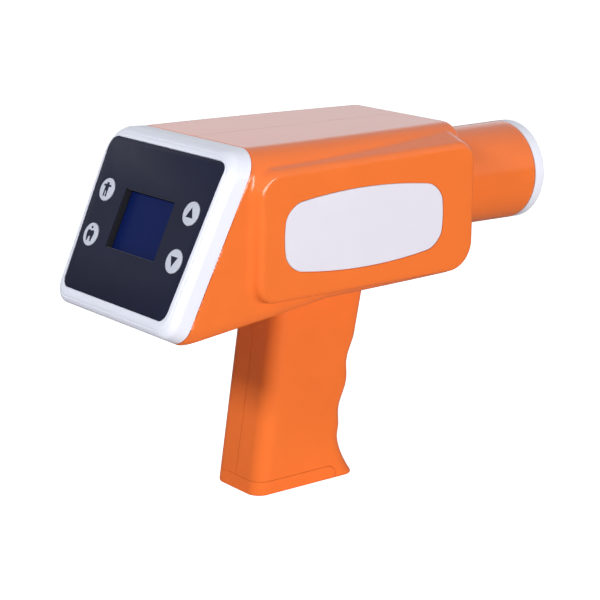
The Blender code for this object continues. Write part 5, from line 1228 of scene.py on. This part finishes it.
def build_keys(finishes):
    outlines = icon_outlines()
    for name, u, v in key_places():
        place = panel_place() @ Matrix.Translation((u, v, 0))
        key = add_shape(name + "_cap", turned(key_profile(), KEY_STEPS, solid=True), place)
        dress(key, finishes, "key_white", name + "_key_cap", name + "_key")
        icon = add_shape(name + "_icon", icon_shape(outlines[name]), place)
        dress(icon, finishes, "overlay_dark", name + "_key_cap")


# Beam cone, plates and small pieces


def build_cone(finishes):
    flange_front = BODY_FRONT_X - WALL - SEAT_GAP
    flange_rear = flange_front - CONE_FLANGE_THICKNESS
    lip_x = CONE_END_X - CONE_LIP_RADIUS
    profile = [
        (flange_rear, CONE_ROOT_RADIUS - CONE_WALL),
        (flange_rear, CONE_FLANGE_RADIUS),
        (flange_front, CONE_FLANGE_RADIUS),
        (flange_front, CONE_ROOT_RADIUS),
    ]
    for step in range(1, CONE_STEPS):
        share = step / CONE_STEPS
        radius = CONE_ROOT_RADIUS + share * (CONE_END_RADIUS - CONE_ROOT_RADIUS)
        profile.append((flange_front + share * (lip_x - flange_front), radius))
    lip = arc((CONE_END_RADIUS - CONE_LIP_RADIUS, lip_x), CONE_LIP_RADIUS, 0, 90, CONE_LIP_STEPS)
    profile += [(x, radius) for radius, x in lip]
    profile.append((CONE_END_X, CONE_END_RADIUS - CONE_WALL))
    cone = add_shape("cone_tube", turned(profile), beam_place())
    dress(cone, finishes, "housing_orange", "housing", "beam_cone")


def build_ring(finishes):
    rear_x = CONE_END_X + SEAT_GAP
    spigot = CONE_END_RADIUS - CONE_WALL - SEAT_GAP
    profile = [
        (rear_x - RING_SPIGOT_LENGTH, RING_BORE_RADIUS),
        (rear_x - RING_SPIGOT_LENGTH, spigot),
        (rear_x, spigot),
        (rear_x, RING_RADIUS),
    ]
    outer_centre = (RING_RADIUS - RING_EDGE_RADIUS, RING_END_X - RING_EDGE_RADIUS)
    inner_centre = (RING_BORE_RADIUS + RING_INNER_EDGE_RADIUS, RING_END_X - RING_INNER_EDGE_RADIUS)
    edges = arc(outer_centre, RING_EDGE_RADIUS, 0, 90)
    edges += arc(inner_centre, RING_INNER_EDGE_RADIUS, 90, 180, EDGE_STEPS)
    profile += [(x, radius) for radius, x in edges]
    ring = add_shape("cone_end_ring", turned(profile), beam_place())
    dress(ring, finishes, "trim_white", "housing", "cone_ring")


def build_labels(finishes):
    outer_y = POD_FACE_Y + LABEL_PROUD
    levels = ((outer_y - LABEL_THICKNESS, 0), (outer_y - LABEL_EDGE, 0), (outer_y, -LABEL_EDGE))
    for side, name in ((-1, "right"), (1, "left")):
        rings = [[(x, side * y, z) for x, z in label_outline(gap)] for y, gap in levels]
        plate = add_shape(name + "_plate", loft(rings))
        dress(plate, finishes, "plate_white", "housing", name + "_label")


def build_spring(finishes):
    """A copy of the trigger's spring, with a mesh of its own; it stays at its rest length when the
    trigger comes in.
    """
    spring = add_object("coil_spring", frame["nodes"]["trigger_spring"].data.copy())
    dress(spring, finishes, "screw_steel", "housing", "trigger_spring")
    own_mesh(spring)


def dress_cad_nodes(finishes):
    """Gives each CAD node that stays its slot's finish."""
    for part in frame["record"]["subparts"]:
        node = frame["nodes"][part["node"]]
        finish = finishes[part["material_slot"]]
        if not node.data.materials:
            node.data.materials.append(finish)
        for index in range(len(node.data.materials)):
            node.data.materials[index] = finish


def main():
    add_stage()
    finishes = outer_finishes() | inner_finishes()
    dress_cad_nodes(finishes)
    build_housing(finishes)
    build_cap(finishes)
    build_bezel(finishes)
    build_overlay(finishes)
    build_display(finishes)
    build_keys(finishes)
    build_cone(finishes)
    build_ring(finishes)
    build_labels(finishes)
    build_spring(finishes)


main()
